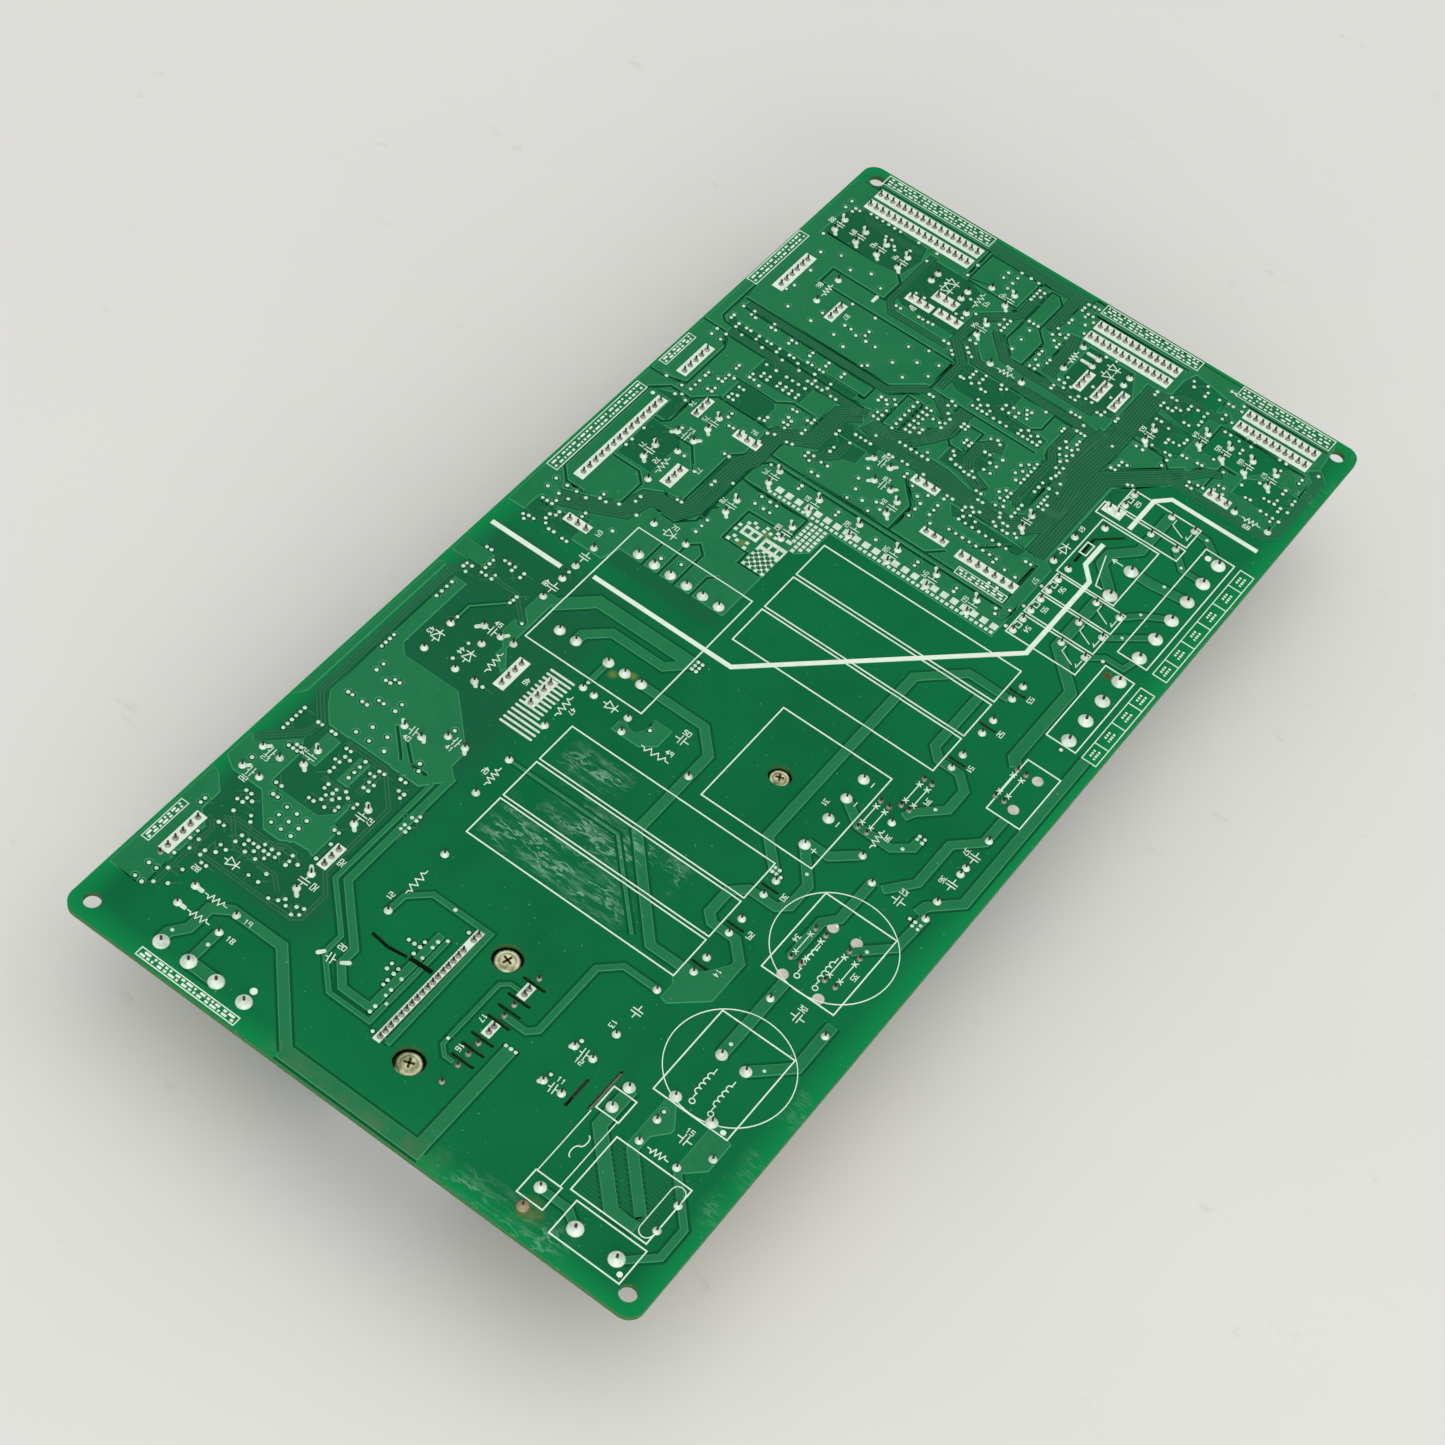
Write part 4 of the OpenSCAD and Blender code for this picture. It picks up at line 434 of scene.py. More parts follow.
    *column(264.9, 73, 67.1, 5), (267.7, 87.3), (266.4, 85.8), (267.7, 84.3), (266.4, 82.8), (269.3, 80.7),
    (271.1, 80.7), (269.3, 78.7), (271.7, 78.7), (269.3, 76.7), (271.1, 76.7), (266.4, 73), (267.7, 71.5),
    (266.4, 70), (267.7, 68.6), (266.4, 67.1), (273.5, 75.6), (272.1, 74.8), (273.6, 74.2), (270.8, 74),
    (274.9, 84.8), (276.4, 85.5), (276, 83.7), (276.4, 71.5), (259.2, 75.6), (273.6, 64.8), (274.8, 64.8),
    (281, 66.5), (281, 65.1), (281.1, 63.8), (276.4, 61.9), (276.4, 60.6), (276.4, 59.4), (279.3, 61.5),
    (259.3, 63.5), (268, 62), (271.2, 62), (266.2, 60.9), (269.6, 60.7), (264.3, 59.5), (267, 59.3),
    (269.7, 59.3), (272.3, 59.3), (273.7, 59.3), (265.7, 58.3), (268.3, 58.2), (271, 58.2), (261.7, 59.2),
    (259.3, 57.7), (260.8, 57.6), (262.8, 57.6), (284.6, 75.1), (286, 75.1), (288.7, 75.1), (288.7, 73.4),
    (291, 73.7), (287, 72.7), (288.6, 71.3), (285.4, 69.5), (285.4, 68), (287.2, 68), (287.8, 66.1),
    (287.8, 64.2), (292.8, 66.9), (292.8, 61.3), (285.7, 61.3), (285.7, 60), (287.3, 59.8), (286.4, 56),
    (287.7, 56), (287.5, 83.7), (290.5, 83.7), (292.8, 84), (294.3, 84), (287.5, 82.1), (289.2, 82.1),
    (291.5, 80.7), (293, 80.7), (298.3, 81.9), (299.7, 81.9), (299.9, 83.7), (301.5, 85.2), (304.5, 85.2),
    (302.9, 83.7), (302.9, 81.8), (304.4, 81.9), (308.3, 84.1), (309.8, 84.1), (314.8, 83.9), (316.1, 83.9),
    (317.9, 83.7), (313.3, 82), (314.7, 81.9), (318.3, 82), (318.3, 80.6), (314.8, 80.4), (310.7, 80.4),
    (307.8, 79), (313, 79.2), (289.4, 90.5), (294, 90.5), (298.4, 90.6), *column(301.3, 92.5, 89.7, 3),
    (294.5, 97.8), (297, 97.9), (293, 96.3), (294.5, 96.3), (296.1, 96.3), (297.7, 96.3),
    *row(96.5, 308.5, 313, 4), (311, 95), (313, 95), (315.2, 100.7), (315.2, 98.2),
    *row(103.5, 307.5, 312.7, 3), (315.2, 103.7), (304.6, 69.9), (305.1, 67),
    # upper header
    (268.1, 146.8), (275.7, 146.8), (265.5, 147.6), (260.5, 143.6), (260.4, 136.1), (264.9, 135.4),
    (260.5, 128.7), (265.3, 128.4), (265.3, 126.4), (264.3, 124.2), (273.2, 123.9), (266, 122.3),
    (267.9, 122.3), (264.4, 121), (264.4, 118), (273.2, 131.3), (263, 111.5), (270.7, 111.5),
    (260.4, 106.6), (283.3, 148.7), (286, 143.8), (283.3, 138.9), (286, 133.9), (283.3, 129),
    (289.6, 152.2), (302.3, 153.5), (305.4, 153.5), (302.2, 151.2), (303.8, 151.1), (303.8, 149.8),
    *column(305, 146.8, 137, 6), (305, 131), (305, 125), (300.7, 138.9), (300.7, 137), (300.7, 131),
    (300.7, 125.5), (298, 134.3), (299.1, 135.2), (280.9, 122.3), (280.9, 120.9), (281.7, 115.5),
    (281.7, 114.2), (281.8, 112.6), (282, 111.2), (288.6, 120.9), (288.6, 118.3), (297.2, 117),
    (289.7, 108.7), (297, 108.7), (289.6, 106.6), (293.4, 104.7), (304.1, 114.3), (309.2, 114.3),
    (310.2, 106.5), (312.7, 106.5),
]

# Printed outlines of parts: x0, y0, x1, y1
OUTLINES = (
    (5.4, 7.7, 15.1, 26.2), (8.65, 30.4, 15.4, 37.3), (35.6, 30.6, 42.2, 36.7), (16.4, 8.8, 32.7, 28.8),
    (47.3, 10.1, 73.2, 29.9), (88.35, 10.2, 114.1, 30), (73.3, 43.6, 85.75, 102.5),
    (86.85, 43.6, 99.35, 102.5), (100.5, 43.6, 112.95, 102.5), (159.6, 30.3, 172.1, 89.3),
    (173.2, 30.3, 185.6, 89.3), (186.8, 30.3, 199.2, 89.3), (117.35, 36.4, 151, 67.95),
    (159.1, 5.3, 177.7, 14.65), (126.8, 92.5, 172.4, 127.3), (187.1, 6.9, 215, 15.3),
    (220.7, 6.8, 264.9, 15.3), (207.3, 19.6, 214.8, 40), (215.8, 19.6, 223.3, 40), (224.2, 19.6, 231.7, 40),
    (261.7, 19.4, 269.3, 40), (232.5, 23.8, 255.1, 40.7), (256.1, 19.1, 260.7, 43.5),
    (241.7, 37.6, 245.9, 39.6),
)

# Label boxes beside the connectors: x0, y0, x1, y1
LABELS = (
    (0.8, 108.8, 3.1, 136.6), (24.65, 154.4, 38, 156.5), (214.3, 45.5, 216.7, 60),
    (173.5, 153.8, 211.5, 157), (221.3, 154.9, 234.4, 157.2), (261.3, 154.5, 286, 157.6),
    (317, 7.7, 321.3, 36.3), (317.4, 48.9, 321.3, 79.5), (317.2, 116, 321.2, 151.2),
)

# White printed bands under rows of pins: x0, y0, x1, y1
BANDS = (
    (17.7, 82.1, 54.3, 84.1), (33.9, 64.7, 38.1, 67.1), (46.4, 64.7, 50.7, 67.1),
    (24.8, 148.7, 37.9, 151.8), (44.2, 119.7, 51.8, 122.3), (110.3, 121.1, 121, 124.3),
    (110.7, 112.6, 120.8, 115.4), (161.8, 135.7, 164.7, 143.1), (175.3, 147, 211.4, 150.1),
    (221.3, 148.7, 234.5, 151.8), (218.4, 45.1, 221.7, 62.9), (263.8, 147.9, 280.3, 151.3),
    (305.8, 8.7, 310, 31.2), (311, 8.7, 315.1, 31.2), (305.8, 51.8, 310, 78.2), (311, 51.8, 315.1, 78.2),
    (305.8, 115.8, 310, 150), (311, 115.8, 315.1, 150), (257.7, 37.2, 261.3, 42.9),
    (231.9, 77.4, 234.8, 85.3), (219.2, 66.3, 221.8, 74), (212.9, 120.2, 215.9, 127.9),
    (284.7, 114.2, 287.7, 122.3), (285.1, 105.2, 288.3, 113.3), (289.8, 109.7, 293.5, 117.1),
    (280.2, 18, 283.3, 25.3), (211.9, 137.9, 219.5, 140.3), (188, 129.1, 196.1, 132.6),
    (263.7, 131.6, 271.5, 134.3), (288.9, 68.5, 297, 71.3), (288.9, 63.1, 297, 65.8),
    (288.9, 57.6, 297, 60.3),
)

# Heavy printed lines that part the mains side from the logic side: (width, line)
BARRIERS = (
    (1.4, ((149.5, 134), (149.5, 155.5))),
    (1.3, ((152.4, 126.2), (152.4, 84.6), (204.9, 32.4), (235, 32.4), (239.2, 36.2), (248, 36.2))),
    (1.3, ((257, 33.8), (269.6, 33.8), (273.3, 30.5), (273.3, 4.8))),
)

# Symbols of the parts, from one lead to the other
RESISTORS = (
    ((35, 24.6), (34.9, 14.5)), ((16.6, 138.6), (16.7, 126.6)), ((22.4, 138.6), (22.5, 126.6)),
    ((45.2, 102.3), (65.2, 102.3)), ((119.4, 92.8), (119.4, 73.2)), ((108, 127.9), (122.9, 127.9)),
    ((83.1, 107.6), (95.5, 107.5)), ((108.9, 107.5), (123.7, 107.5)), ((186.6, 135), (199.2, 135)),
    ((128.2, 29.4), (140.5, 29.4)), ((291.7, 106.7), (304.5, 106.8)), ((280.7, 91.9), (280.7, 82)),
    ((267.5, 139.1), (277.7, 139.2)), ((293, 76.4), (303.2, 76.4)), ((280.9, 16.1), (280.9, 6)),
)
DIODES = (
    ((123.65, 104.2), (123.65, 94.1)), ((175.9, 123.1), (175.9, 117.4)), ((234.7, 43), (245, 43)),
    ((107.9, 143), (117.9, 143)), ((107.9, 133.6), (117.9, 133.6)), ((32.2, 139), (32.3, 134)),
    ((299, 71), (299, 61.1)), ((302.3, 71), (302.3, 61.1)), ((295.4, 120.5), (295.4, 110.8)),
    ((298.7, 120.5), (298.7, 110.8)),
)
CAPACITORS = (
    ((33, 49.2), (33.5, 44)), ((44.2, 49.2), (44.65, 44)), ((52.9, 44.2), (68, 44.2)),
    ((41.6, 21), (41.6, 13.4)), ((82.6, 19.7), (82.6, 12.3)), ((123.4, 19.7), (123.4, 12.3)),
    ((131.5, 9), (139.1, 9)), ((141.3, 9), (149, 9)), ((126.9, 84.3), (127, 76.9)),
    ((26.9, 106.6), (28, 101.3)), ((53.8, 152.3), (54, 147.5)), ((61, 152.3), (61, 147.5)),
    ((36.2, 121.3), (41.8, 121.5)), ((58.1, 123), (63.3, 123)), ((63.4, 142.2), (68.3, 142.3)),
    ((86.9, 132), (87.6, 126.6)), ((91.3, 122.3), (91.3, 117.5)), ((122.5, 136.8), (122.8, 131.3)),
    ((139.2, 131.5), (146.8, 131.5)), ((152.1, 131.5), (159.5, 131.5)), ((205.3, 98.7), (210.8, 98.7)),
    ((205.3, 86.5), (210.8, 86.5)), ((205.3, 74.6), (210.8, 74.6)), ((205.3, 62.8), (210.8, 62.8)),
    ((205.3, 50.7), (210.8, 50.7)), ((193.4, 98.7), (198.7, 98.7)), ((231.7, 96.3), (231.9, 91.3)),
    ((225.6, 92), (225.6, 87.1)), ((218.4, 83.5), (223.6, 83.5)), ((238.2, 55), (243.6, 55.2)),
    ((192, 140.5), (197.3, 140.5)), ((204.7, 139), (204.8, 134)), ((210.3, 133.7), (215.7, 133.8)),
    ((206.2, 111.7), (211.7, 111.8)), ((191.2, 114.2), (196.3, 114.3)), ((285.9, 46.6), (291.1, 46.5)),
    ((294.5, 35), (299.7, 35)), ((294.5, 28), (299.7, 28)), ((294.5, 21.1), (299.7, 21.1)),
    ((294.5, 14), (299.7, 14)), ((287, 100.3), (292.2, 100.5)), ((301.3, 100.5), (306.4, 100.6)),
    ((293, 150.8), (298.1, 150.8)), ((293, 143.9), (298.1, 143.9)), ((293, 137), (298.1, 137)),
    ((293, 130), (298.1, 130)),
)
JUMPERS = (
    ((94.6, 26.3), (104.5, 26.3)), ((94.6, 23.4), (104.5, 23.4)), ((94.6, 16.9), (104.5, 16.9)),
    ((94.6, 14), (104.5, 14)), ((134.1, 34.8), (143.9, 34.8)), ((134.1, 32.35), (143.7, 32.35)),
    ((146.1, 30.5), (156.1, 30.5)), ((146, 28.2), (156, 28.2)), ((163.4, 14.9), (173.4, 14.9)),
    ((163.4, 12.5), (173.4, 12.5)),
)

# Tinned tails beside joints, which hold back solder: joint, reach
TAILS = (
    ((32.7, 50), (1, -1)), ((44, 50), (1, -1)), ((26.8, 107), (1.1, -0.9)), ((28, 101.3), (1.1, -1.3)),
    ((16.6, 138.6), (0, -2)), ((22.4, 138.6), (0, -2)), ((53.8, 152.3), (1.3, -1.2)),
    ((61, 152.3), (1.3, -1.2)), ((36.2, 121.3), (-1.2, -1.2)), ((41.8, 121.5), (1.3, 1.2)),
    ((58.1, 123), (-1.2, -1.2)), ((63.3, 123), (1.2, 1.2)), ((63.4, 142.2), (-1.2, -1.2)),
    ((68.3, 142.3), (1.3, 1.2)), ((86.9, 132), (1.3, 1.2)), ((87.6, 126.6), (-1.3, -1)),
    ((91.3, 117.5), (-1.3, -1)), ((122.5, 136.8), (-1.3, 1)), ((122.8, 131.3), (1.3, -1)),
    *[((210.8, y), (1.5, 1.3)) for y in (98.7, 86.5, 74.6, 62.8, 50.7)], ((198.7, 98.7), (1.4, 1.3)),
    ((231.7, 96.3), (-1.3, 1.2)), ((231.9, 91.3), (1.3, -1.2)), ((225.6, 92), (-1.2, 1.2)),
    ((225.6, 87.1), (1.3, -1.2)), ((218.4, 83.5), (-1.3, -1.2)), ((223.6, 83.5), (1.3, 1.2)),
    ((238.2, 55), (-1.3, -1.2)), ((243.6, 55.2), (1.3, 1.2)), ((192, 140.5), (-1.2, -1.2)),
    ((197.3, 140.5), (1.3, 1.1)), ((204.7, 139), (-1.2, 1.2)), ((204.8, 134), (1.2, -1.2)),
    ((210.3, 133.7), (-1.2, -1.2)), ((215.7, 133.8), (1.3, 1.2)), ((206.2, 111.7), (-1.3, -1.2)),
    ((211.7, 111.8), (1.3, 1.2)), ((191.2, 114.2), (-1.3, -1.2)), ((196.3, 114.3), (1.3, 1.2)),
    ((285.9, 46.6), (-1.3, -1.2)), ((291.1, 46.5), (1.3, 1.2)),
    *[((294.5, y), (-1.3, -1.2)) for y in (35, 28, 21.1, 14)],
    *[((299.7, y), (1.4, 1.3)) for y in (35, 28, 21.1, 14)], ((287, 100.3), (-1.2, -1.2)),
    ((292.2, 100.5), (1.3, 1.2)), ((301.3, 100.5), (-1.3, -1.2)), ((306.4, 100.6), (1.3, 1.2)),
    *[((293, y), (-1.3, -1.2)) for y in (150.8, 143.9, 137, 130)],
    *[((298.1, y), (1.4, 1.3)) for y in (150.8, 143.9, 137, 130)], ((299, 71), (0, 3.2)),
    ((302.3, 71), (0, 3.2)), ((108, 127.9), (-0.9, -1.1)), ((277.8, 127.9), (2.2, 0)),
)

# Tinned hatch beside the transformer: middles of loose squares, and bars as x0, y0, x1, y1
HATCH_SQUARES = (
    (184.9, 108.8), (186.5, 108), (185.7, 106.7), (184.9, 103.9), (186.6, 104.2), (190.4, 109),
    (188.6, 109.1), (192.3, 107.6), (193.3, 106.3), (192.4, 105.2), (194, 103), (192.5, 103.2),
    (193, 101.5), (194.3, 100.1), (192.7, 99.8),
)
HATCH_BARS = (
    (188.1, 102.6, 189.2, 107.9), (190.6, 102.6, 191.6, 107.9), (189.2, 107, 190.6, 107.9),
    (189.2, 104.8, 190.6, 105.7), (189.2, 102.6, 190.6, 103.5), (187.2, 95, 188.5, 101.7),
    (190, 95, 191.3, 101.7), (188.5, 100.8, 190, 101.7), (188.5, 98.7, 190, 99.5), (188.5, 96.7, 190, 97.5),
    (188.5, 95, 190, 95.6), (193.3, 95.6, 194.6, 97.4),
)

# Plain part numbers: place, upright or along the board's length
MARKS = (
    (35.9, 46.2, 90), (42.2, 46.2, 90), (54.4, 46.4, 0), (80, 36.4, 0), (43.9, 17.2, 90), (28, 68.2, 0),
    (37, 69, 0), (16.7, 123.2, 90), (22.5, 123.2, 90), (31.2, 103.6, 90), (48.4, 104.4, 0),
    (51.4, 149.8, 90), (58.9, 149.8, 90), (66, 144.6, 0), (39, 118.6, 0), (48, 118.2, 0), (60.7, 120.6, 0),
    (26, 141.4, 90), (93, 36.6, 0), (106.5, 36.6, 0), (134.7, 44.6, 0), (85.2, 16.2, 90), (126.2, 16.2, 90),
    (99.5, 28.2, 0), (99.5, 12.1, 0), (135, 11.4, 0), (145.2, 11.4, 0), (136, 27.6, 0), (151, 26.2, 0),
    (84.7, 129.2, 90), (88.9, 120, 90), (89.4, 109.8, 0), (113, 145.2, 0), (113, 136, 0), (125.3, 134, 90),
    (116, 118.6, 0), (116.2, 105.2, 0), (143, 133.6, 0), (121.9, 80.4, 90), (129.4, 80.6, 90),
    (165.7, 23.7, 0), (179.4, 23.7, 0), (193, 23.7, 0), (211.2, 36.2, 0), (219.4, 36.2, 0),
    (227.8, 36.2, 0), (225.6, 43, 0), (208.6, 77, 0), (208.6, 65.2, 0), (208.6, 53.1, 0), (248.2, 43, 0),
    (265.5, 36.4, 0), (289, 49, 0), (297, 37.4, 0), (297, 30.4, 0), (297, 23.5, 0), (297, 16.4, 0),
    (278.6, 11, 90), (164, 133.4, 0), (178.4, 120.2, 90), (194.8, 143, 0), (193, 137.2, 0),
    (207.2, 136.4, 90), (214.8, 141.8, 0), (213, 136.2, 0), (217.8, 124, 90), (197.4, 127.2, 0),
    (193.8, 116.8, 0), (209, 114.4, 0), (196, 101.4, 0), (208.6, 101.2, 0), (208.6, 89, 0), (228, 89.5, 90),
    (221, 86.2, 0), (234, 93.8, 90), (272.7, 141.8, 0), (267.8, 129.8, 0), (295.5, 153.4, 0),
    (295.5, 146.4, 0), (295.5, 139.6, 0), (295.5, 132.6, 0), (283.1, 118.4, 90), (298.2, 104.6, 0),
    (289.6, 102.8, 0), (304, 103, 0), (282.7, 87, 90),
)

DIGITS = {
    "0": ((0, 0), (0, 1), (0.6, 1), (0.6, 0), (0, 0.01)),
    "1": ((0.1, 0.75), (0.3, 1), (0.3, 0)),
    "2": ((0, 1), (0.6, 1), (0.6, 0.5), (0, 0.5), (0, 0), (0.6, 0)),
    "3": ((0, 1), (0.6, 1), (0.25, 0.55), (0.6, 0.5), (0.6, 0), (0, 0)),
    "4": ((0.45, 0), (0.45, 1), (0, 0.35), (0.65, 0.35)),
    "5": ((0.6, 1), (0, 1), (0, 0.55), (0.6, 0.55), (0.6, 0), (0, 0)),
    "6": ((0.6, 1), (0, 0.9), (0, 0), (0.6, 0), (0.6, 0.5), (0.05, 0.5)),
    "7": ((0, 1), (0.6, 1), (0.2, 0)),
    "8": ((0.3, 0.5), (0, 0.7), (0, 1), (0.6, 1), (0.6, 0.6), (0, 0.4), (0, 0), (0.6, 0), (0.6, 0.3),
          (0.35, 0.47)),
    "9": ((0.6, 0.5), (0, 0.5), (0, 1), (0.6, 1), (0.6, 0)),
}

# Centres and radius of the line choke and of the place for a second one
CHOKE_CENTRES = ((62.4, 20.05), (103.15, 20.05))
CHOKE_RADIUS = 14.95

# Access holes of the screws, and the copper's distance from their middle
MODULE_SCREWS = ((18.5, 74.5), (52.8, 74.3))
MODULE_CLEARANCE = 4.6
BRIDGE_SCREW = (133.7, 57.1)
BRIDGE_CLEARANCE = 3.6

# Milled slit: (width, line), and the height of the dark strip of painted shadow that shows it
SLIT = ((0.75, ((38.4, 101.2), (37.8, 96.4), (38.5, 91.4))), (1.15, ((38.7, 90.8), (39, 84.7))))
SLIT_RISE = 0.13

# Relief: how deep a piece reaches into the board, the room around copper, and the strips of painted shade
# beside the wide tracks, along the dividing lines and around the plated holes
SUNK = 0.02
GAP_GROWTH = 0.15
BUNDLE_MARGIN = 0.9
HOLE_SHADE_CLEARANCE = 0.3
TRACK_LIFT = 0.004
TRACK_SHADE_WIDTH = 1.1
TRACK_SHADE_OVERLAP = 0.2
SHADE_STRIP_RISE = 0.03
SHADE_STRIP_SLOPE = 0.02
GAP_SHADE_MARGIN = 0.1
HOLE_SHADE_RING = 0.28
TRACE_SHARE = 0.8
TRACE_SLOPE = 0.1
LEGEND_SLOPE = 0.03
TIN_SLOPE = 0.14
TAIL_WIDTH = 1.15
SMOOTH_ANGLE = math.radians(50)

# Holes from this one on carry the end of a fine trace, in one of three lengths
FIRST_STUB = 71
STUB_REACH = 1.6
STUB_STEP = 0.7

# Fine stripes in the outline of the film capacitor at the inlet
STRIPE_COUNT = 17
STRIPE_START = 17.4
STRIPE_PITCH = 0.9
STRIPE_LOW = 9.4
STRIPE_HIGH = 28.2
STRIPE_WIDTH = 0.3

# Dashes in the label boxes
LINE_PITCH = 1.45
DASH_LENGTHS = (0.8, 1.4, 0.6, 1.7, 0.9, 1.2, 0.6)
DASH_HALF = 0.3
DASH_GAP = 0.5
WORD_GAP = 1.1
NUMBER_LINE = 0.22
FIRST_NUMBER = 11

# Smeared flux on the mask: strength, then x0, y0, x1, y1 and the softness of the edge
SMEARS = (
    (0.55, (75, 62, 85, 100, 2)), (0.55, (88.4, 58, 98, 100, 2)), (0.5, (102.5, 83, 110, 98, 2)),
    (0.3, (0, 22, 7, 60, 2.5)), (0.3, (26, 0.5, 72, 5, 1.5)), (0.35, (295, 2, 322, 9, 3)),
)
RUBBED_STRIP = (-2, 52, 4.6, 100, 2.2)

# Copper on the far side: x0, y0, x1, y1 and the softness of the edge
SHADED_REGIONS = ((204, 42, 330, 165, 1.5), (158, 95, 204, 165, 1.5), (27, 112, 152, 160, 3))

# Round places on the mask: x, y, radius, softness of the edge
FLUX_SPOTS = (
    (131.6, 104.6, 0.9, 0.6), (134.4, 100.6, 0.9, 0.6), (185.7, 105.3, 0.9, 0.6), (191.9, 102.1, 0.9, 0.6),
)
RED_DOT = (212.6, 13.3, 0.9, 0.25)
SCORCHED_MASK = (6.6, 32.6, 2.6, 1.4)
SCORCHED_JOINT = (6.6, 34.2, 2.4, 0.4)

# Mask: width of the bright rim, start and end of the cut edge in metres, gloss
RIM = 3.4
RIM_SOFTNESS = 3
EDGE_START = 0.00001
EDGE_END = 0.00012
MASK_GLOSS = 0.03

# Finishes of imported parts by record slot: name, dark and light tone, scale, roughness, metal, grain
PART_FINISHES = {
    "black_epoxy": ("black_epoxy", (24, 25, 27), (40, 41, 44), 160, (0.45, 0.65)),
    "sink": ("sink_aluminium", (178, 180, 184), (190, 192, 196), 900, (0.35, 0.45), 0.8, 0.05),
    # The screw plating wanders up to a near-white light tone, a painted highlight on the domed faces
    "brass_screw": ("screw_plating_painted_highlight", (110, 117, 68), (255, 255, 212), 350, (0.26, 0.42), 0.55),
    "ferrite": ("ferrite", (52, 51, 54), (74, 73, 76), 220, (0.5, 0.7), 0.1),
    "black_plastic": ("black_plastic", (22, 22, 23), (38, 38, 40), 180, (0.4, 0.6)),
    "tape": ("winding_tape", (214, 178, 40), (238, 206, 72), 90, (0.3, 0.45)),
    "ceramic": ("fuse_ceramic", (224, 221, 210), (240, 238, 230), 120, (0.35, 0.5)),
    "tinned_metal": ("tinned_metal", (176, 176, 174), (214, 213, 210), 300, (0.25, 0.45), 0.9),
    "blue_coating": ("blue_coating", (34, 74, 140), (54, 100, 172), 150, (0.25, 0.4)),
    "film_case": ("film_case", (206, 168, 60), (226, 192, 86), 110, (0.35, 0.5)),
    "resistor_paint": ("resistor_paint", (150, 176, 190), (178, 200, 210), 240, (0.3, 0.5)),
    "can_sleeve": ("can_sleeve", (28, 34, 58), (40, 48, 78), 70, (0.25, 0.4)),
    "ceramic_coat": ("ceramic_coat", (178, 106, 48), (204, 132, 66), 260, (0.35, 0.5)),
    "chip": ("chip_case", (30, 30, 32), (46, 46, 49), 300, (0.5, 0.7)),
    "relay_case": ("relay_case", (34, 66, 128), (48, 84, 150), 80, (0.3, 0.45)),
    "connector_nylon": ("connector_nylon", (226, 222, 208), (240, 237, 226), 70, (0.4, 0.55)),
}

# Turned shapes of unit size: radius, height
FINE_CONE = (
    (1, 0), (0.98, 0.08), (0.9, 0.18), (0.76, 0.28), (0.6, 0.38), (0.45, 0.5), (0.34, 0.6), (0, 0.62),
)
COARSE_CONE = ((1, 0), (0.92, 0.16), (0.66, 0.32), (0.4, 0.55), (0, 0.6))
HOLE_DOME = ((1, 0), (0.86, 0.6), (0.5, 0.95), (0, 1))
SCREW_FACE = (
    (0.97, 0), (0.97, 0.1), (0.9, 0.24), (0.78, 0.26), (0.72, 0.2), (0.68, 0.26), (0.6, 0.5), (0.42, 0.64),
    (0, 0.66),
)

# Light and camera: name, size, place of each lamp; directions and place of the camera from the board's middle
LAMPS = (("key_lamp", 2.2, (0.1, -0.25, 1.9)), ("fill_lamp", 2.0, (-2.4, -1.6, 0.85)))
TABLE_SIZE = 16
PICTURE_WIDTH = 36
CAMERA_FORWARD = (0.5484, 0.2616, -0.7943)
CAMERA_RIGHT = (0.5798, -0.8034, 0.1357)
CAMERA_OFFSET = (-0.4234, -0.1934, 0.5794)


def paint(red, green, blue):
    """Scene-linear colour of a display colour from 0 to 255."""
    def linear(value):
        value /= 255
        return value / 12.92 if value <= 0.04045 else ((value + 0.055) / 1.055) ** 2.4
    return (linear(red), linear(green), linear(blue))


class BoardSizes(bpy.types.PropertyGroup):
    """Heights and widths of the relief."""
    copper_rise: bpy.props.FloatProperty(
        name="Copper", description="Height of the copper under the mask",
        default=0.00011, min=0.00002, unit="LENGTH")
    copper_slope: bpy.props.FloatProperty(
        name="Edge slope", description="Width of the sloping mask at a copper edge",
        default=0.0003, min=0, unit="LENGTH")
    legend_rise: bpy.props.FloatProperty(
        name="Legend", description="Height of the printed legend above the bare board",
        default=0.00014, min=0.00002, unit="LENGTH")
    legend_line: bpy.props.FloatProperty(
        name="Legend line", description="Width of a printed outline",
        default=0.00036, min=0.0002, unit="LENGTH")
    symbol_line: bpy.props.FloatProperty(
        name="Symbol line", description="Width of the lines of a printed symbol",
        default=0.00027, min=0.0002, unit="LENGTH")
    mark_height: bpy.props.FloatProperty(
        name="Part number", description="Height of a printed part number",
        default=0.00125, min=0.0005, unit="LENGTH")
    tin_rise: bpy.props.FloatProperty(
        name="Tinned areas", description="Height of the tinned areas",
        default=0.0002, min=0.00005, unit="LENGTH")
    via_radius: bpy.props.FloatProperty(
        name="Plated hole", description="Radius of the solder on a plated hole",
        default=0.00056, min=0.0002, unit="LENGTH")
    via_rise: bpy.props.FloatProperty(
        name="Plated hole rise", description="Height of the solder on a plated hole",
        default=0.00026, min=0.00005, unit="LENGTH")
    trace_width: bpy.props.FloatProperty(
        name="Fine trace", description="Width of a fine trace",
        default=0.0006, min=0.0001, unit="LENGTH")
    trace_pitch: bpy.props.FloatProperty(
        name="Trace pitch", description="Spacing of fine traces in a bundle",
        default=0.0008, min=0.0002, unit="LENGTH")


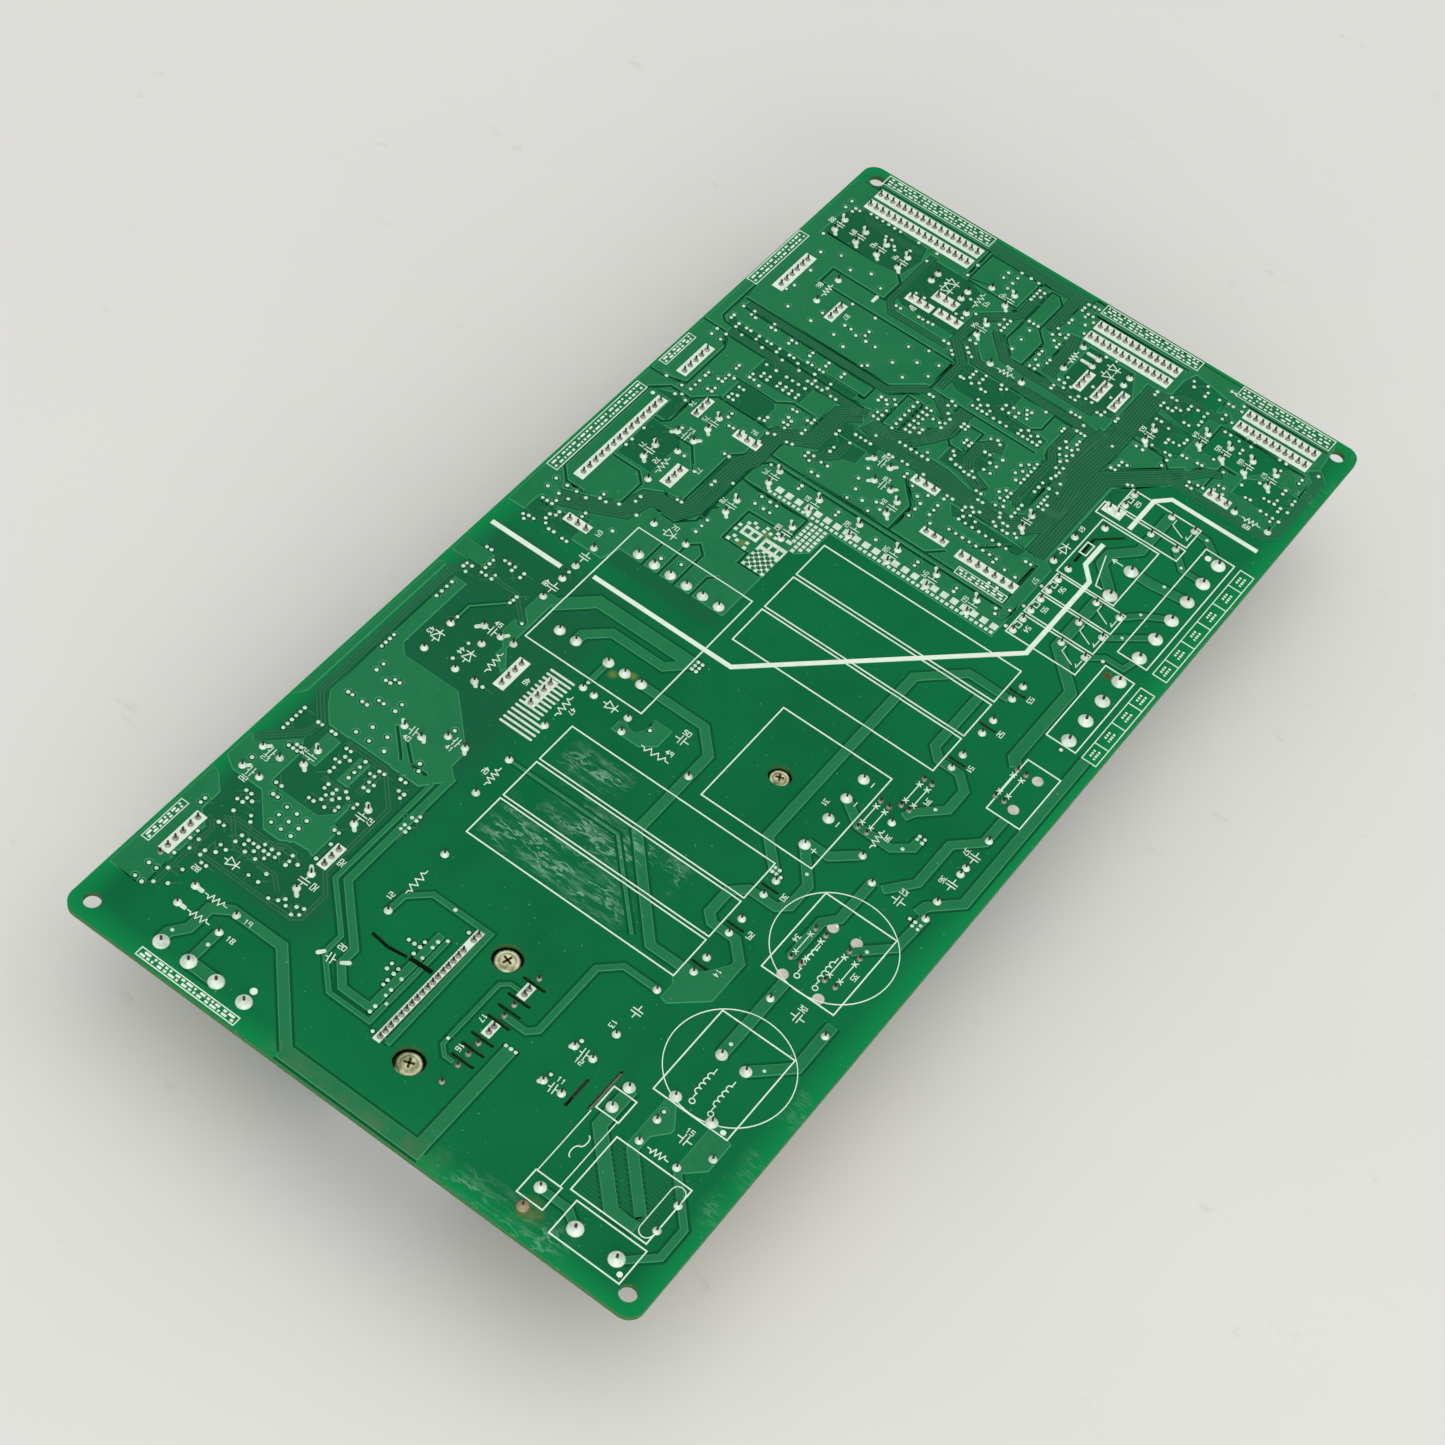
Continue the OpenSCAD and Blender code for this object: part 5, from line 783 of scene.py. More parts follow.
class BoardColours(bpy.types.PropertyGroup):
    """Colours of the solder side."""
    bare: bpy.props.FloatVectorProperty(
        name="Bare board", description="Mask over the bare laminate",
        subtype="COLOR", default=paint(9, 100, 57))
    shaded: bpy.props.FloatVectorProperty(
        name="Shaded board", description="Mask where copper lies on the far side",
        subtype="COLOR", default=paint(24, 94, 63))
    bright: bpy.props.FloatVectorProperty(
        name="Bright board", description="Mask near the rim",
        subtype="COLOR", default=paint(13, 133, 72))
    copper: bpy.props.FloatVectorProperty(
        name="Masked copper", description="Mask over copper",
        subtype="COLOR", default=paint(36, 120, 75))
    legend: bpy.props.FloatVectorProperty(
        name="Legend", description="Printed legend",
        subtype="COLOR", default=paint(229, 243, 227))
    solder: bpy.props.FloatVectorProperty(
        name="Solder", description="Solder and tin",
        subtype="COLOR", default=paint(228, 240, 225))


class StageSettings(bpy.types.PropertyGroup):
    """Light, floor and camera."""
    floor: bpy.props.FloatVectorProperty(
        name="Table", description="Colour of the table",
        subtype="COLOR", default=paint(229, 228, 223))
    sky: bpy.props.FloatProperty(
        name="Sky", description="Strength of the even light from all sides",
        default=0.63, min=0, subtype="FACTOR")
    key: bpy.props.FloatProperty(
        name="Key lamp", description="Power of the large soft lamp",
        default=11.5, min=0, unit="POWER")
    fill: bpy.props.FloatProperty(
        name="Fill lamp", description="Power of the low lamp that lightens the shadow",
        default=46.0, min=0, unit="POWER")
    lens: bpy.props.FloatProperty(
        name="Lens", description="Focal length for a picture 36 mm wide",
        default=76.78, min=10, unit="CAMERA")


class Finish:
    """A node material of procedural patterns in object space."""

    def __init__(self, name):
        self.material = bpy.data.materials.new(name)
        self.material.use_nodes = True
        self.nodes = self.material.node_tree.nodes
        self.links = self.material.node_tree.links
        self.shader = next(n for n in self.nodes if n.type == "BSDF_PRINCIPLED")
        self.place = self.nodes.new("ShaderNodeTexCoord").outputs["Object"]

    def feed(self, socket, value):
        if isinstance(value, bpy.types.NodeSocket):
            self.links.new(value, socket)
        elif socket.type == "RGBA":
            socket.default_value = (*value, 1)
        else:
            socket.default_value = value

    def stretched(self, stretch):
        node = self.nodes.new("ShaderNodeMapping")
        self.feed(node.inputs["Vector"], self.place)
        node.inputs["Scale"].default_value = stretch
        return node.outputs["Vector"]

    def noise(self, scale, detail=3, stretch=(1, 1, 1), roughness=0.55):
        node = self.nodes.new("ShaderNodeTexNoise")
        self.feed(node.inputs["Vector"], self.stretched(stretch))
        node.inputs["Scale"].default_value = scale
        node.inputs["Detail"].default_value = detail
        node.inputs["Roughness"].default_value = roughness
        return node.outputs["Fac"]

    def turns(self, x, y, count):
        """Stripes that run out from a place on the board, from nothing to one."""
        across = self.math("SUBTRACT", self.axis("X"), BOARD_LOW.x + x * MM)
        away = self.math("SUBTRACT", self.axis("Y"), BOARD_LOW.y + y * MM)
        angle = self.math("MULTIPLY", self.math("ARCTAN2", away, across), count)
        return self.steps(self.math("SINE", angle), -1, 1)

    def steps(self, value, low, high, bottom=0.0, top=1.0):
        node = self.nodes.new("ShaderNodeMapRange")
        self.feed(node.inputs["Value"], value)
        node.inputs["From Min"].default_value = low
        node.inputs["From Max"].default_value = high
        node.inputs["To Min"].default_value = bottom
        node.inputs["To Max"].default_value = top
        return node.outputs["Result"]

    def math(self, operation, first, second=0.5):
        node = self.nodes.new("ShaderNodeMath")
        node.operation = operation
        self.feed(node.inputs[0], first)
        self.feed(node.inputs[1], second)
        return node.outputs[0]

    def blend(self, factor, first, second):
        node = self.nodes.new("ShaderNodeMix")
        node.data_type = "RGBA"
        self.feed(node.inputs["Factor"], factor)
        self.feed(node.inputs[6], first)
        self.feed(node.inputs[7], second)
        return node.outputs[2]

    def tint(self, factor, strength, first, second):
        """A blend that is held back to a strength."""
        return self.blend(self.math("MULTIPLY", factor, strength), first, second)

    def wander(self, scale, detail, low=0.0, high=1.0):
        """A soft pattern between two values."""
        return self.steps(self.noise(scale, detail), 0.3, 0.7, low, high)

    def axis(self, name):
        node = self.nodes.new("ShaderNodeSeparateXYZ")
        self.feed(node.inputs[0], self.place)
        return node.outputs[name]

    def near(self, x, y, radius, soft):
        """One inside a round place on the board, nothing outside it."""
        node = self.nodes.new("ShaderNodeVectorMath")
        node.operation = "DISTANCE"
        self.feed(node.inputs[0], self.place)
        node.inputs[1].default_value = (BOARD_LOW.x + x * MM, BOARD_LOW.y + y * MM, BOARD_HIGH.z)
        return self.steps(node.outputs["Value"], (radius + soft) * MM, (radius - soft) * MM)

    def within(self, x0, y0, x1, y1, soft):
        """One inside a rectangle on the board, nothing outside it."""
        sides = (
            self.steps(self.axis("X"), BOARD_LOW.x + (x0 - soft) * MM, BOARD_LOW.x + (x0 + soft) * MM),
            self.steps(self.axis("X"), BOARD_LOW.x + (x1 + soft) * MM, BOARD_LOW.x + (x1 - soft) * MM),
            self.steps(self.axis("Y"), BOARD_LOW.y + (y0 - soft) * MM, BOARD_LOW.y + (y0 + soft) * MM),
            self.steps(self.axis("Y"), BOARD_LOW.y + (y1 + soft) * MM, BOARD_LOW.y + (y1 - soft) * MM),
        )
        inside = sides[0]
        for side in sides[1:]:
            inside = self.math("MULTIPLY", inside, side)
        return inside

    def bump(self, height, strength, distance):
        node = self.nodes.new("ShaderNodeBump")
        self.feed(node.inputs["Height"], height)
        node.inputs["Strength"].default_value = strength
        node.inputs["Distance"].default_value = distance
        self.feed(self.shader.inputs["Normal"], node.outputs["Normal"])

    def surface(self, colour, roughness=0.5, metallic=0.0, gloss=0.5):
        self.feed(self.shader.inputs["Base Color"], colour)
        self.feed(self.shader.inputs["Roughness"], roughness)
        self.feed(self.shader.inputs["Metallic"], metallic)
        self.feed(self.shader.inputs["Specular IOR Level"], gloss)
        return self.material


def millimetres(sizes):
    """The relief's sizes as millimetres on the board."""
    return SimpleNamespace(**{name: getattr(sizes, name) / MM for name in BoardSizes.__annotations__})


def worn(finish, colour):
    """The mask's colour with flux residue, scratches and scorched places on it."""
    streaks = finish.steps(finish.noise(1, 5, (640, 90, 150), 0.75), 0.5, 0.7)
    ridges = finish.math("SUBTRACT", finish.noise(1, 3, (330, 95, 150), 0.6), 0.5)
    squiggles = finish.steps(finish.math("ABSOLUTE", ridges), 0.03, 0.006)
    patches = finish.steps(finish.noise(75, 3), 0.4, 0.58)
    smeared = finish.math("MULTIPLY", finish.math("MAXIMUM", streaks, squiggles), patches)
    for strength, region in SMEARS:
        factor = finish.math("MULTIPLY", smeared, finish.within(*region))
        colour = finish.tint(factor, strength, colour, paint(160, 204, 182))
    specks = finish.steps(finish.noise(900, 2), 0.71, 0.76)
    colour = finish.tint(specks, 0.35, colour, paint(150, 190, 165))
    grime = finish.steps(finish.noise(260, 3), 0.35, 0.6)
    scorch = finish.math("MULTIPLY", finish.near(*SCORCHED_MASK), grime)
    colour = finish.tint(scorch, 0.6, colour, paint(132, 112, 62))
    dullness = finish.steps(finish.noise(190, 4), 0.4, 0.7)
    rub = finish.math("MULTIPLY", finish.within(*RUBBED_STRIP), dullness)
    colour = finish.tint(rub, 0.45, colour, paint(96, 116, 76))
    for spot in FLUX_SPOTS:
        colour = finish.tint(finish.near(*spot), 0.45, colour, paint(150, 150, 60))
    return finish.tint(finish.near(*RED_DOT), 0.8, colour, paint(112, 48, 34))


def laminate_finish(colours):
    finish = Finish("solder_mask")
    cloud = finish.steps(finish.noise(16, 3), 0.35, 0.7)
    mottle = finish.steps(finish.noise(130, 4), 0.3, 0.75)
    colour = finish.tint(cloud, 0.42, colours.bare, colours.bright)
    colour = finish.tint(mottle, 0.16, colour, paint(26, 116, 72))
    for region in SHADED_REGIONS:
        colour = finish.tint(finish.within(*region), 0.8, colour, colours.shaded)
    inner = finish.within(RIM, RIM, BOARD_LENGTH - RIM, BOARD_WIDTH - RIM, RIM_SOFTNESS)
    colour = finish.blend(finish.math("SUBTRACT", 1.0, inner), colour, colours.bright)
    colour = worn(finish, colour)
    height = finish.axis("Z")
    below = finish.steps(height, BOARD_HIGH.z - EDGE_START, BOARD_HIGH.z - EDGE_END)
    above = finish.steps(height, BOARD_LOW.z + EDGE_START, BOARD_LOW.z + EDGE_END)
    glass = finish.blend(finish.noise(900, 2), paint(38, 98, 54), paint(86, 124, 72))
    colour = finish.blend(finish.math("MULTIPLY", below, above), colour, glass)
    finish.bump(finish.noise(1600, 2), 0.12, 0.0002)
    return finish.surface(colour, finish.wander(90, 3, 0.34, 0.5), gloss=MASK_GLOSS)


def copper_finish(colours):
    finish = Finish("masked_copper")
    cloud = finish.steps(finish.noise(22, 3), 0.35, 0.7)
    mottle = finish.steps(finish.noise(210, 4), 0.4, 0.75)
    colour = finish.blend(cloud, colours.copper, paint(30, 117, 71))
    colour = finish.tint(mottle, 0.2, colour, paint(52, 130, 84))
    colour = worn(finish, colour)
    finish.bump(finish.noise(1300, 2), 0.1, 0.0002)
    return finish.surface(colour, finish.wander(120, 3, 0.32, 0.46), gloss=MASK_GLOSS)


def ridge_finish(name, dark, light):
    """The mask where it is thin over a copper edge, or over fine traces, and the dark strips of painted shade
    beside tracks, along dividing lines, around plated holes, in the slit and in the screw recesses.
    """
    finish = Finish(name)
    colour = finish.blend(finish.noise(180, 3), paint(*dark), paint(*light))
    return finish.surface(colour, finish.wander(300, 2, 0.34, 0.5), gloss=MASK_GLOSS)


def legend_finish(colours):
    finish = Finish("legend_ink")
    thin = finish.steps(finish.noise(420, 4), 0.45, 0.8)
    colour = finish.tint(thin, 0.35, colours.legend, paint(160, 196, 168))
    return finish.surface(colour, finish.wander(600, 2, 0.5, 0.7), gloss=0.15)


def solder_finish(colours):
    finish = Finish("solder")
    dull = finish.steps(finish.noise(500, 3), 0.4, 0.75)
    colour = finish.blend(dull, colours.solder, paint(186, 197, 181))
    colour = finish.tint(finish.near(*SCORCHED_JOINT), 0.85, colour, paint(140, 112, 66))
    finish.bump(finish.noise(1500, 3), 0.25, 0.0004)
    return finish.surface(colour, finish.wander(800, 2, 0.4, 0.6), 0.12, 0.3)


# The cut ends of the leads, their metal drawn nearly black as painted shade
def lead_tip_shade_finish():
    finish = Finish("lead_tip_painted_shade")
    colour = finish.blend(finish.noise(900, 3), paint(64, 60, 54), paint(22, 20, 19))
    return finish.surface(colour, finish.wander(700, 2, 0.35, 0.6), 0.3)


def plain_finish(name, dark, light, scale, roughness, metallic=0.0, grain=0.15):
    """A material that wanders between two colours, with a fine grain."""
    finish = Finish(name)
    colour = finish.blend(finish.wander(scale, 4), paint(*dark), paint(*light))
    finish.bump(finish.noise(scale * 9, 3), grain, 0.0003)
    return finish.surface(colour, finish.wander(scale * 3, 3, *roughness), metallic)


def wire_finish_with_crease_shade():
    """Turns of enamelled wire around the line choke, the colour darkening between the turns as painted shade
    in the creases.
    """
    finish = Finish("enamelled_wire_painted_crease_shade")
    turns = finish.turns(*CHOKE_CENTRES[0], 72)
    colour = finish.blend(turns, paint(104, 44, 18), paint(206, 116, 58))
    colour = finish.tint(finish.noise(300, 3), 0.4, colour, paint(150, 70, 30))
    finish.bump(turns, 0.6, 0.0004)
    return finish.surface(colour, finish.wander(500, 2, 0.25, 0.4), 0.5)


def new_object(name, mesh):
    """An object for the mesh, linked to the scene."""
    obj = bpy.data.objects.new(name, mesh)
    bpy.context.scene.collection.objects.link(obj)
    return obj


def counter_clockwise(outline_points):
    turned = list(outline_points)
    area = sum(a[0] * b[1] - b[0] * a[1] for a, b in zip(turned, turned[1:] + turned[:1]))
    return turned if area > 0 else turned[::-1]


def merged(shapes, cuts):
    """Points and triangles of the shapes joined together, less the cuts."""
    points = []
    faces = []
    for shape in (*shapes, *cuts):
        faces.append(list(range(len(points), len(points) + len(shape))))
        points.extend(Vector(p) for p in counter_clockwise(shape))
    made = delaunay_2d_cdt(points, [], faces, 1, 0.0005, True)
    kept = [face for face, source in zip(made[2], made[5]) if source and max(source) < len(shapes)]
    return made[0], kept


def relief(name, shapes, cuts, rise, slope):
    """A flat piece on the board's solder side whose edges slope up to its top."""
    points, triangles = merged(shapes, cuts)
    edges = {(t[k], t[(k + 1) % 3]) for t in triangles for k in range(3)}
    rim = [(a, b) for a, b in edges if (b, a) not in edges]
    lean = {}
    for a, b in rim:
        along = (points[b] - points[a]).normalized()
        inward = Vector((-along.y, along.x))
        lean.setdefault(a, []).append(inward)
        lean.setdefault(b, []).append(inward)
    used = sorted({index for triangle in triangles for index in triangle})
    order = {index: k for k, index in enumerate(used)}
    low = []
    high = []
    for index in used:
        point = points[index]
        low.append(place(point.x, point.y, -SUNK))
        sides = lean.get(index, [])
        if len(sides) == 2:
            point = point + (sides[0] + sides[1]) * (slope / max(1 + sides[0].dot(sides[1]), 0.5))
        high.append(place(point.x, point.y, rise))
    count = len(used)
    faces = [[order[k] + count for k in t] for t in triangles]
    faces += [[order[k] for k in reversed(t)] for t in triangles]
    faces += [[order[a], order[b], order[b] + count, order[a] + count] for a, b in rim]
    mesh = bpy.data.meshes.new(name)
    mesh.from_pydata(low + high, [], faces)
    mesh.polygons.foreach_set("material_index", [0] * (2 * len(triangles)) + [1] * len(rim))
    mesh.update()
    return new_object(name, mesh)


def place(x, y, z=0.0):
    """A point over the solder side, in the scene's metres."""
    return Vector((BOARD_LOW.x + x * MM, BOARD_LOW.y + y * MM, BOARD_HIGH.z + z * MM))


def spun(name, profile, steps):
    """A solid of unit size turned from a profile of (radius, height)."""
    bpy.ops.object.select_all(action="DESELECT")
    mesh = bpy.data.meshes.new(name)
    mesh.from_pydata([(r, 0, z) for r, z in profile], [(k, k + 1) for k in range(len(profile) - 1)], [])
    obj = new_object(name, mesh)
    bpy.context.view_layer.objects.active = obj
    obj.select_set(True)
    bpy.ops.object.mode_set(mode="EDIT")
    bpy.ops.mesh.select_all(action="SELECT")
    bpy.ops.mesh.spin(steps=steps, angle=math.tau, center=(0, 0, 0), axis=(0, 0, 1))
    bpy.ops.mesh.select_all(action="SELECT")
    bpy.ops.mesh.remove_doubles(threshold=0.0001)
    bpy.ops.mesh.normals_make_consistent(inside=False)
    bpy.ops.object.mode_set(mode="OBJECT")
    return obj


def bar(length, width, low, high):
    """A block about the origin, from one height to another."""
    bpy.ops.object.select_all(action="DESELECT")
    bpy.ops.mesh.primitive_cube_add(
        size=1, location=(0, 0, (low + high) / 2), scale=(length, width, high - low))
    bpy.ops.object.transform_apply(location=True, rotation=True, scale=True)
    return bpy.context.object


def copies(name, parts, places):
    """One mesh with the parts at each place: x, y, radius, height, turn.

    Each part has its own material slot.
    """
    vertices = []
    faces = []
    slots = []
    for x, y, radius, height, turn in places:
        centre = place(x, y, -SUNK)
        cosine = math.cos(turn) * radius * MM
        sine = math.sin(turn) * radius * MM
        for slot, part in enumerate(parts):
            start = len(vertices)
            for vertex in part.data.vertices:
                u, v, w = vertex.co
                vertices.append((centre.x + u * cosine - v * sine, centre.y + u * sine + v * cosine,
                                 centre.z + w * height * MM))
            for polygon in part.data.polygons:
                faces.append([start + k for k in polygon.vertices])
                slots.append(slot)
    mesh = bpy.data.meshes.new(name)
    mesh.from_pydata(vertices, [], faces)
    mesh.polygons.foreach_set("material_index", slots)
    mesh.update()
    obj = new_object(name, mesh)
    bpy.ops.object.select_all(action="DESELECT")
    obj.select_set(True)
    bpy.context.view_layer.objects.active = obj
    bpy.ops.object.shade_smooth_by_angle(angle=SMOOTH_ANGLE)
    for part in parts:
        bpy.data.objects.remove(part)
    return obj


def islands(node):
    """Centre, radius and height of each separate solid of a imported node, in millimetres on the board."""
    mesh = frame["nodes"][node].data
    spots = {}
    leader = []
    index_of = []
    for vertex in mesh.vertices:
        key = tuple(round(c * 2e5) for c in vertex.co)
        if key not in spots:
            spots[key] = len(leader)
            leader.append(len(leader))
        index_of.append(spots[key])

    def head(k):
        while leader[k] != k:
            leader[k] = leader[leader[k]]
            k = leader[k]
        return k

    for polygon in mesh.polygons:
        corners = [index_of[v] for v in polygon.vertices]
        for other in corners[1:]:
            leader[head(other)] = head(corners[0])
    groups = {}
    for vertex in mesh.vertices:
        groups.setdefault(head(index_of[vertex.index]), []).append(vertex.co)
    found = []
    for group in groups.values():
        xs = [c.x for c in group]
        ys = [c.y for c in group]
        tall = (max(c.z for c in group) - BOARD_HIGH.z) / MM
        x = ((min(xs) + max(xs)) / 2 - BOARD_LOW.x) / MM
        y = ((min(ys) + max(ys)) / 2 - BOARD_LOW.y) / MM
        found.append((x, y, (max(xs) - min(xs)) / 2 / MM, tall))
    return sorted(found)


def dress(obj, slot, *materials):
    """Materials and body of a new piece. The slot is not used."""
    for material in materials:
        obj.data.materials.append(material)
    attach(obj, "root")
    return obj


def numerals(text, x, y, turn, height, line):
    """A plain number, its foot towards the board's far long side as the board's print stands."""
    shapes = []
    pitch = height * 0.86
    start = -pitch * len(text) / 2
    cosine = math.cos(math.radians(turn + 180))
    sine = math.sin(math.radians(turn + 180))
    for k, digit in enumerate(text):
        points = []
        for u, v in DIGITS[digit]:
            u = start + k * pitch + u * height
            v = (v - 0.5) * height
            points.append((x + u * cosine - v * sine, y + u * sine + v * cosine))
        shapes += [capsule(a, b, line) for a, b in zip(points, points[1:])]
    return shapes


def along(start, end, reach, side=0.0):
    """A point on the way between two leads, in millimetres from the middle and to the left."""
    a = Vector(start)
    b = Vector(end)
    way = (b - a).normalized()
    point = (a + b) / 2 + way * reach + Vector((-way.y, way.x)) * side
    return tuple(point)


def resistor_symbol(start, end, line):
    half = min((Vector(end) - Vector(start)).length * 0.18, 3.0)
    zigzag = [along(start, end, -half - 0.9), along(start, end, -half)]
    zigzag += [along(start, end, half * (k - 2.5) / 3, 0.85 if k % 2 else -0.85) for k in range(6)]
    zigzag += [along(start, end, half), along(start, end, half + 0.9)]
    return [capsule(a, b, line) for a, b in zip(zigzag, zigzag[1:])]


def diode_symbol(start, end, line):
    tip = along(start, end, 1.1)
    base = (along(start, end, -1.1, 1.2), along(start, end, -1.1, -1.2))
    lines = [(base[0], base[1]), (base[0], tip), (base[1], tip),
             (along(start, end, 1.1, 1.3), along(start, end, 1.1, -1.3)),
             (along(start, end, -2.1), along(start, end, -1.1)), (tip, along(start, end, 2.1))]
    return [capsule(a, b, line) for a, b in lines]


def capacitor_symbol(start, end, line):
    reach = min((Vector(end) - Vector(start)).length / 2 - 1.5, 1.8)
    lines = [(along(start, end, -0.45, 1.3), along(start, end, -0.45, -1.3)),
             (along(start, end, 0.45, 1.3), along(start, end, 0.45, -1.3))]
    if reach > 0.7:
        lines += [(along(start, end, -reach), along(start, end, -0.45)),
                  (along(start, end, 0.45), along(start, end, reach))]
    return [capsule(a, b, line) for a, b in lines]


def jumper_symbol(start, end, line):
    lines = [(along(start, end, -3.1), along(start, end, 3.1))]
    for reach in (-3.1, 3.1):
        lines += [(along(start, end, reach - 0.5, -0.6), along(start, end, reach + 0.5, 0.6)),
                  (along(start, end, reach - 0.5, 0.6), along(start, end, reach + 0.5, -0.6))]
    return [capsule(a, b, line) for a, b in lines]


def coil_symbol(x, y, line):
    loops = [ribbon(arc(x - 2.4 + 1.6 * k, y, 0.8, -20, 200, 7), line) for k in range(4)]
    leads = [capsule((x + 3.1, y), (x + 4.6, y), line), capsule((x - 3.1, y), (x - 4.4, y), line)]
    ring = [ribbon(arc(x - 5.3, y - 0.4, 0.65, start, start + 180, 6), line) for start in (0, 180)]
    return loops + leads + ring


def relay_symbols(line):
    """Coil box and contact of each slim relay and of the power relay."""
    shapes = []
    for x in (211.05, 219.55, 228, 265.55):
        shapes += outline(x - 0.8, 38, x + 0.8, 39.6, line)
        contact = x + 2.4
        shapes += [capsule((contact, 26), (contact - 2, 26), line),
                   capsule((contact - 2, 26), (contact - 4, 22), line),
                   capsule((contact - 1.4, 20.6), (contact - 4, 20.6), line),
                   capsule((contact - 4, 20.6), (contact - 3.2, 21.3), line)]
    shapes += [ribbon(((235.1, 28.7), (235.1, 30.6), (245.3, 33.7)), line * 1.3)]
    shapes += [capsule((245.3, 31.8), end, line) for end in ((245.3, 28.7), (244.6, 30.8), (246, 30.8))]
    return shapes


def label_bars(line):
    """Boxes beside the connectors, with plain dashes in the place of words."""
    shapes = []
    for x0, y0, x1, y1 in LABELS:
        shapes += outline(x0, y0, x1, y1, line)
        upright = y1 - y0 > x1 - x0
        start, end, low, high = (y0, y1, x0, x1) if upright else (x0, x1, y0, y1)
        lines = max(2, round((high - low) / LINE_PITCH))
        for level in range(lines):
            middle = low + (high - low) * (level + 0.75) / (lines + 0.5)
            reach = start + 0.6 + 0.3 * level
            k = 3 * level
            while reach < end - 0.9:
                length = DASH_LENGTHS[k % len(DASH_LENGTHS)]
                dash = (reach, middle - DASH_HALF, min(reach + length, end - 0.4), middle + DASH_HALF)
                shapes.append(box(dash[1], dash[0], dash[3], dash[2]) if upright else box(*dash))
                reach += length + (DASH_GAP if k % 4 else WORD_GAP)
                k += 1
    shapes += outline(187, 1, 215, 5, line) + outline(220.7, 1, 264.9, 5, line)
    for x in (193, 201, 208.9, 226.7, 234.6, 242.7, 250.6, 258.5):
        shapes.append(ribbon(((x, 1), (x, 5)), line))
    for x in (190, 197, 205, 212, 223.7, 230.6, 238.6, 246.6, 254.6, 261.7):
        shapes += [box(x - 1.6 + 0.8 * k, 2.2, x - 1.2 + 0.8 * k + 0.15 * (k % 2), 2.8) for k in range(4)]
        shapes += [box(x - 1.2 + 0.9 * k, 3.4, x - 0.7 + 0.9 * k, 4) for k in range(3)]
    return shapes


class BOARD_OT_copper(bpy.types.Operator):
    """Models the tracks and areas of copper under the mask, with strips of painted shade beside the wide
    tracks, along the dividing lines and around the plated holes
    """
    bl_idname = "board.copper"
    bl_label = "Copper"

    def execute(self, context):
        sizes = millimetres(context.scene.board_sizes)
        cuts = [*BARE_PATCHES, *(ribbon(line, width + GAP_GROWTH) for width, line in GAPS)]
        cuts += [ribbon(line, count * sizes.trace_pitch + BUNDLE_MARGIN) for count, line in BUNDLES]
        # Room cut from the copper around each plated hole, where a ring of painted shade shows
        cuts += [disc(x, y, sizes.via_radius + HOLE_SHADE_CLEARANCE, 8) for x, y in VIAS]
        cuts += [disc(x, y, MODULE_CLEARANCE, 20) for x, y in MODULE_SCREWS]
        pours = relief("copper_areas", POURS, cuts, sizes.copper_rise, sizes.copper_slope)
        tracks = relief("copper_tracks", [ribbon(line, width) for width, line in WIDE_TRACKS],
                        [disc(*BRIDGE_SCREW, BRIDGE_CLEARANCE, 20)], sizes.copper_rise + TRACK_LIFT,
                        sizes.copper_slope)
        # Dark strips of painted shade beside the wide tracks
        inside = [ribbon(line, width - TRACK_SHADE_OVERLAP) for width, line in WIDE_TRACKS]
        track_shade = relief("painted_track_shade", [ribbon(line, width + TRACK_SHADE_WIDTH) for width, line in WIDE_TRACKS],
                       [*inside, *POURS], SHADE_STRIP_RISE, SHADE_STRIP_SLOPE)
        # The dividing lines of the copper areas are bare board, drawn darker as painted shade, and each
        # plated hole gets a ring of painted shade
        gap_and_hole_shade_floors = [ribbon(line, width + GAP_SHADE_MARGIN) for width, line in GAPS]
        gap_and_hole_shade_floors += [disc(x, y, sizes.via_radius + HOLE_SHADE_RING, 10) for x, y in VIAS]
        gap_and_hole_shade = relief("painted_gap_and_hole_shade", gap_and_hole_shade_floors, [], SHADE_STRIP_RISE, SHADE_STRIP_SLOPE)
        top = copper_finish(context.scene.board_colours)
        edge = ridge_finish("copper_edge", (54, 138, 90), (70, 152, 104))
        dark = ridge_finish("painted_track_shade_ink", (7, 80, 46), (12, 90, 52))
        deep = ridge_finish("painted_gap_and_hole_shade_ink", (6, 66, 40), (11, 78, 48))
        for piece in (pours, tracks):
            dress(piece, "laminate", top, edge)
        dress(track_shade, "laminate", dark, dark)
        dress(gap_and_hole_shade, "laminate", deep, deep)
        return {"FINISHED"}


class BOARD_OT_traces(bpy.types.Operator):
    """Models the bundles of fine traces under the mask"""
    bl_idname = "board.traces"
    bl_label = "Fine traces"

    def execute(self, context):
        sizes = millimetres(context.scene.board_sizes)
        shapes = []
        for count, line in BUNDLES:
            for k in range(count):
                side = (k - (count - 1) / 2) * sizes.trace_pitch
                shapes.append(ribbon(shifted(line, side), sizes.trace_width))
        for k, (x, y) in enumerate(VIAS[FIRST_STUB:], FIRST_STUB):
            turn = math.radians(45 * (k * 3 % 8))
            reach = STUB_REACH + STUB_STEP * (k % 3)
            end = (x + reach * math.cos(turn), y + reach * math.sin(turn))
            shapes.append(capsule((x, y), end, sizes.trace_width))
        for k in range(STRIPE_COUNT):
            x = STRIPE_START + STRIPE_PITCH * k
            shapes.append(ribbon(((x, STRIPE_LOW), (x, STRIPE_HIGH)), STRIPE_WIDTH))
        piece = relief("fine_traces", shapes, [], sizes.copper_rise * TRACE_SHARE, TRACE_SLOPE)
        top = ridge_finish("masked_traces", (42, 104, 71), (50, 112, 78))
        dress(piece, "laminate", top, ridge_finish("trace_edge", (34, 96, 64), (42, 104, 71)))
        return {"FINISHED"}


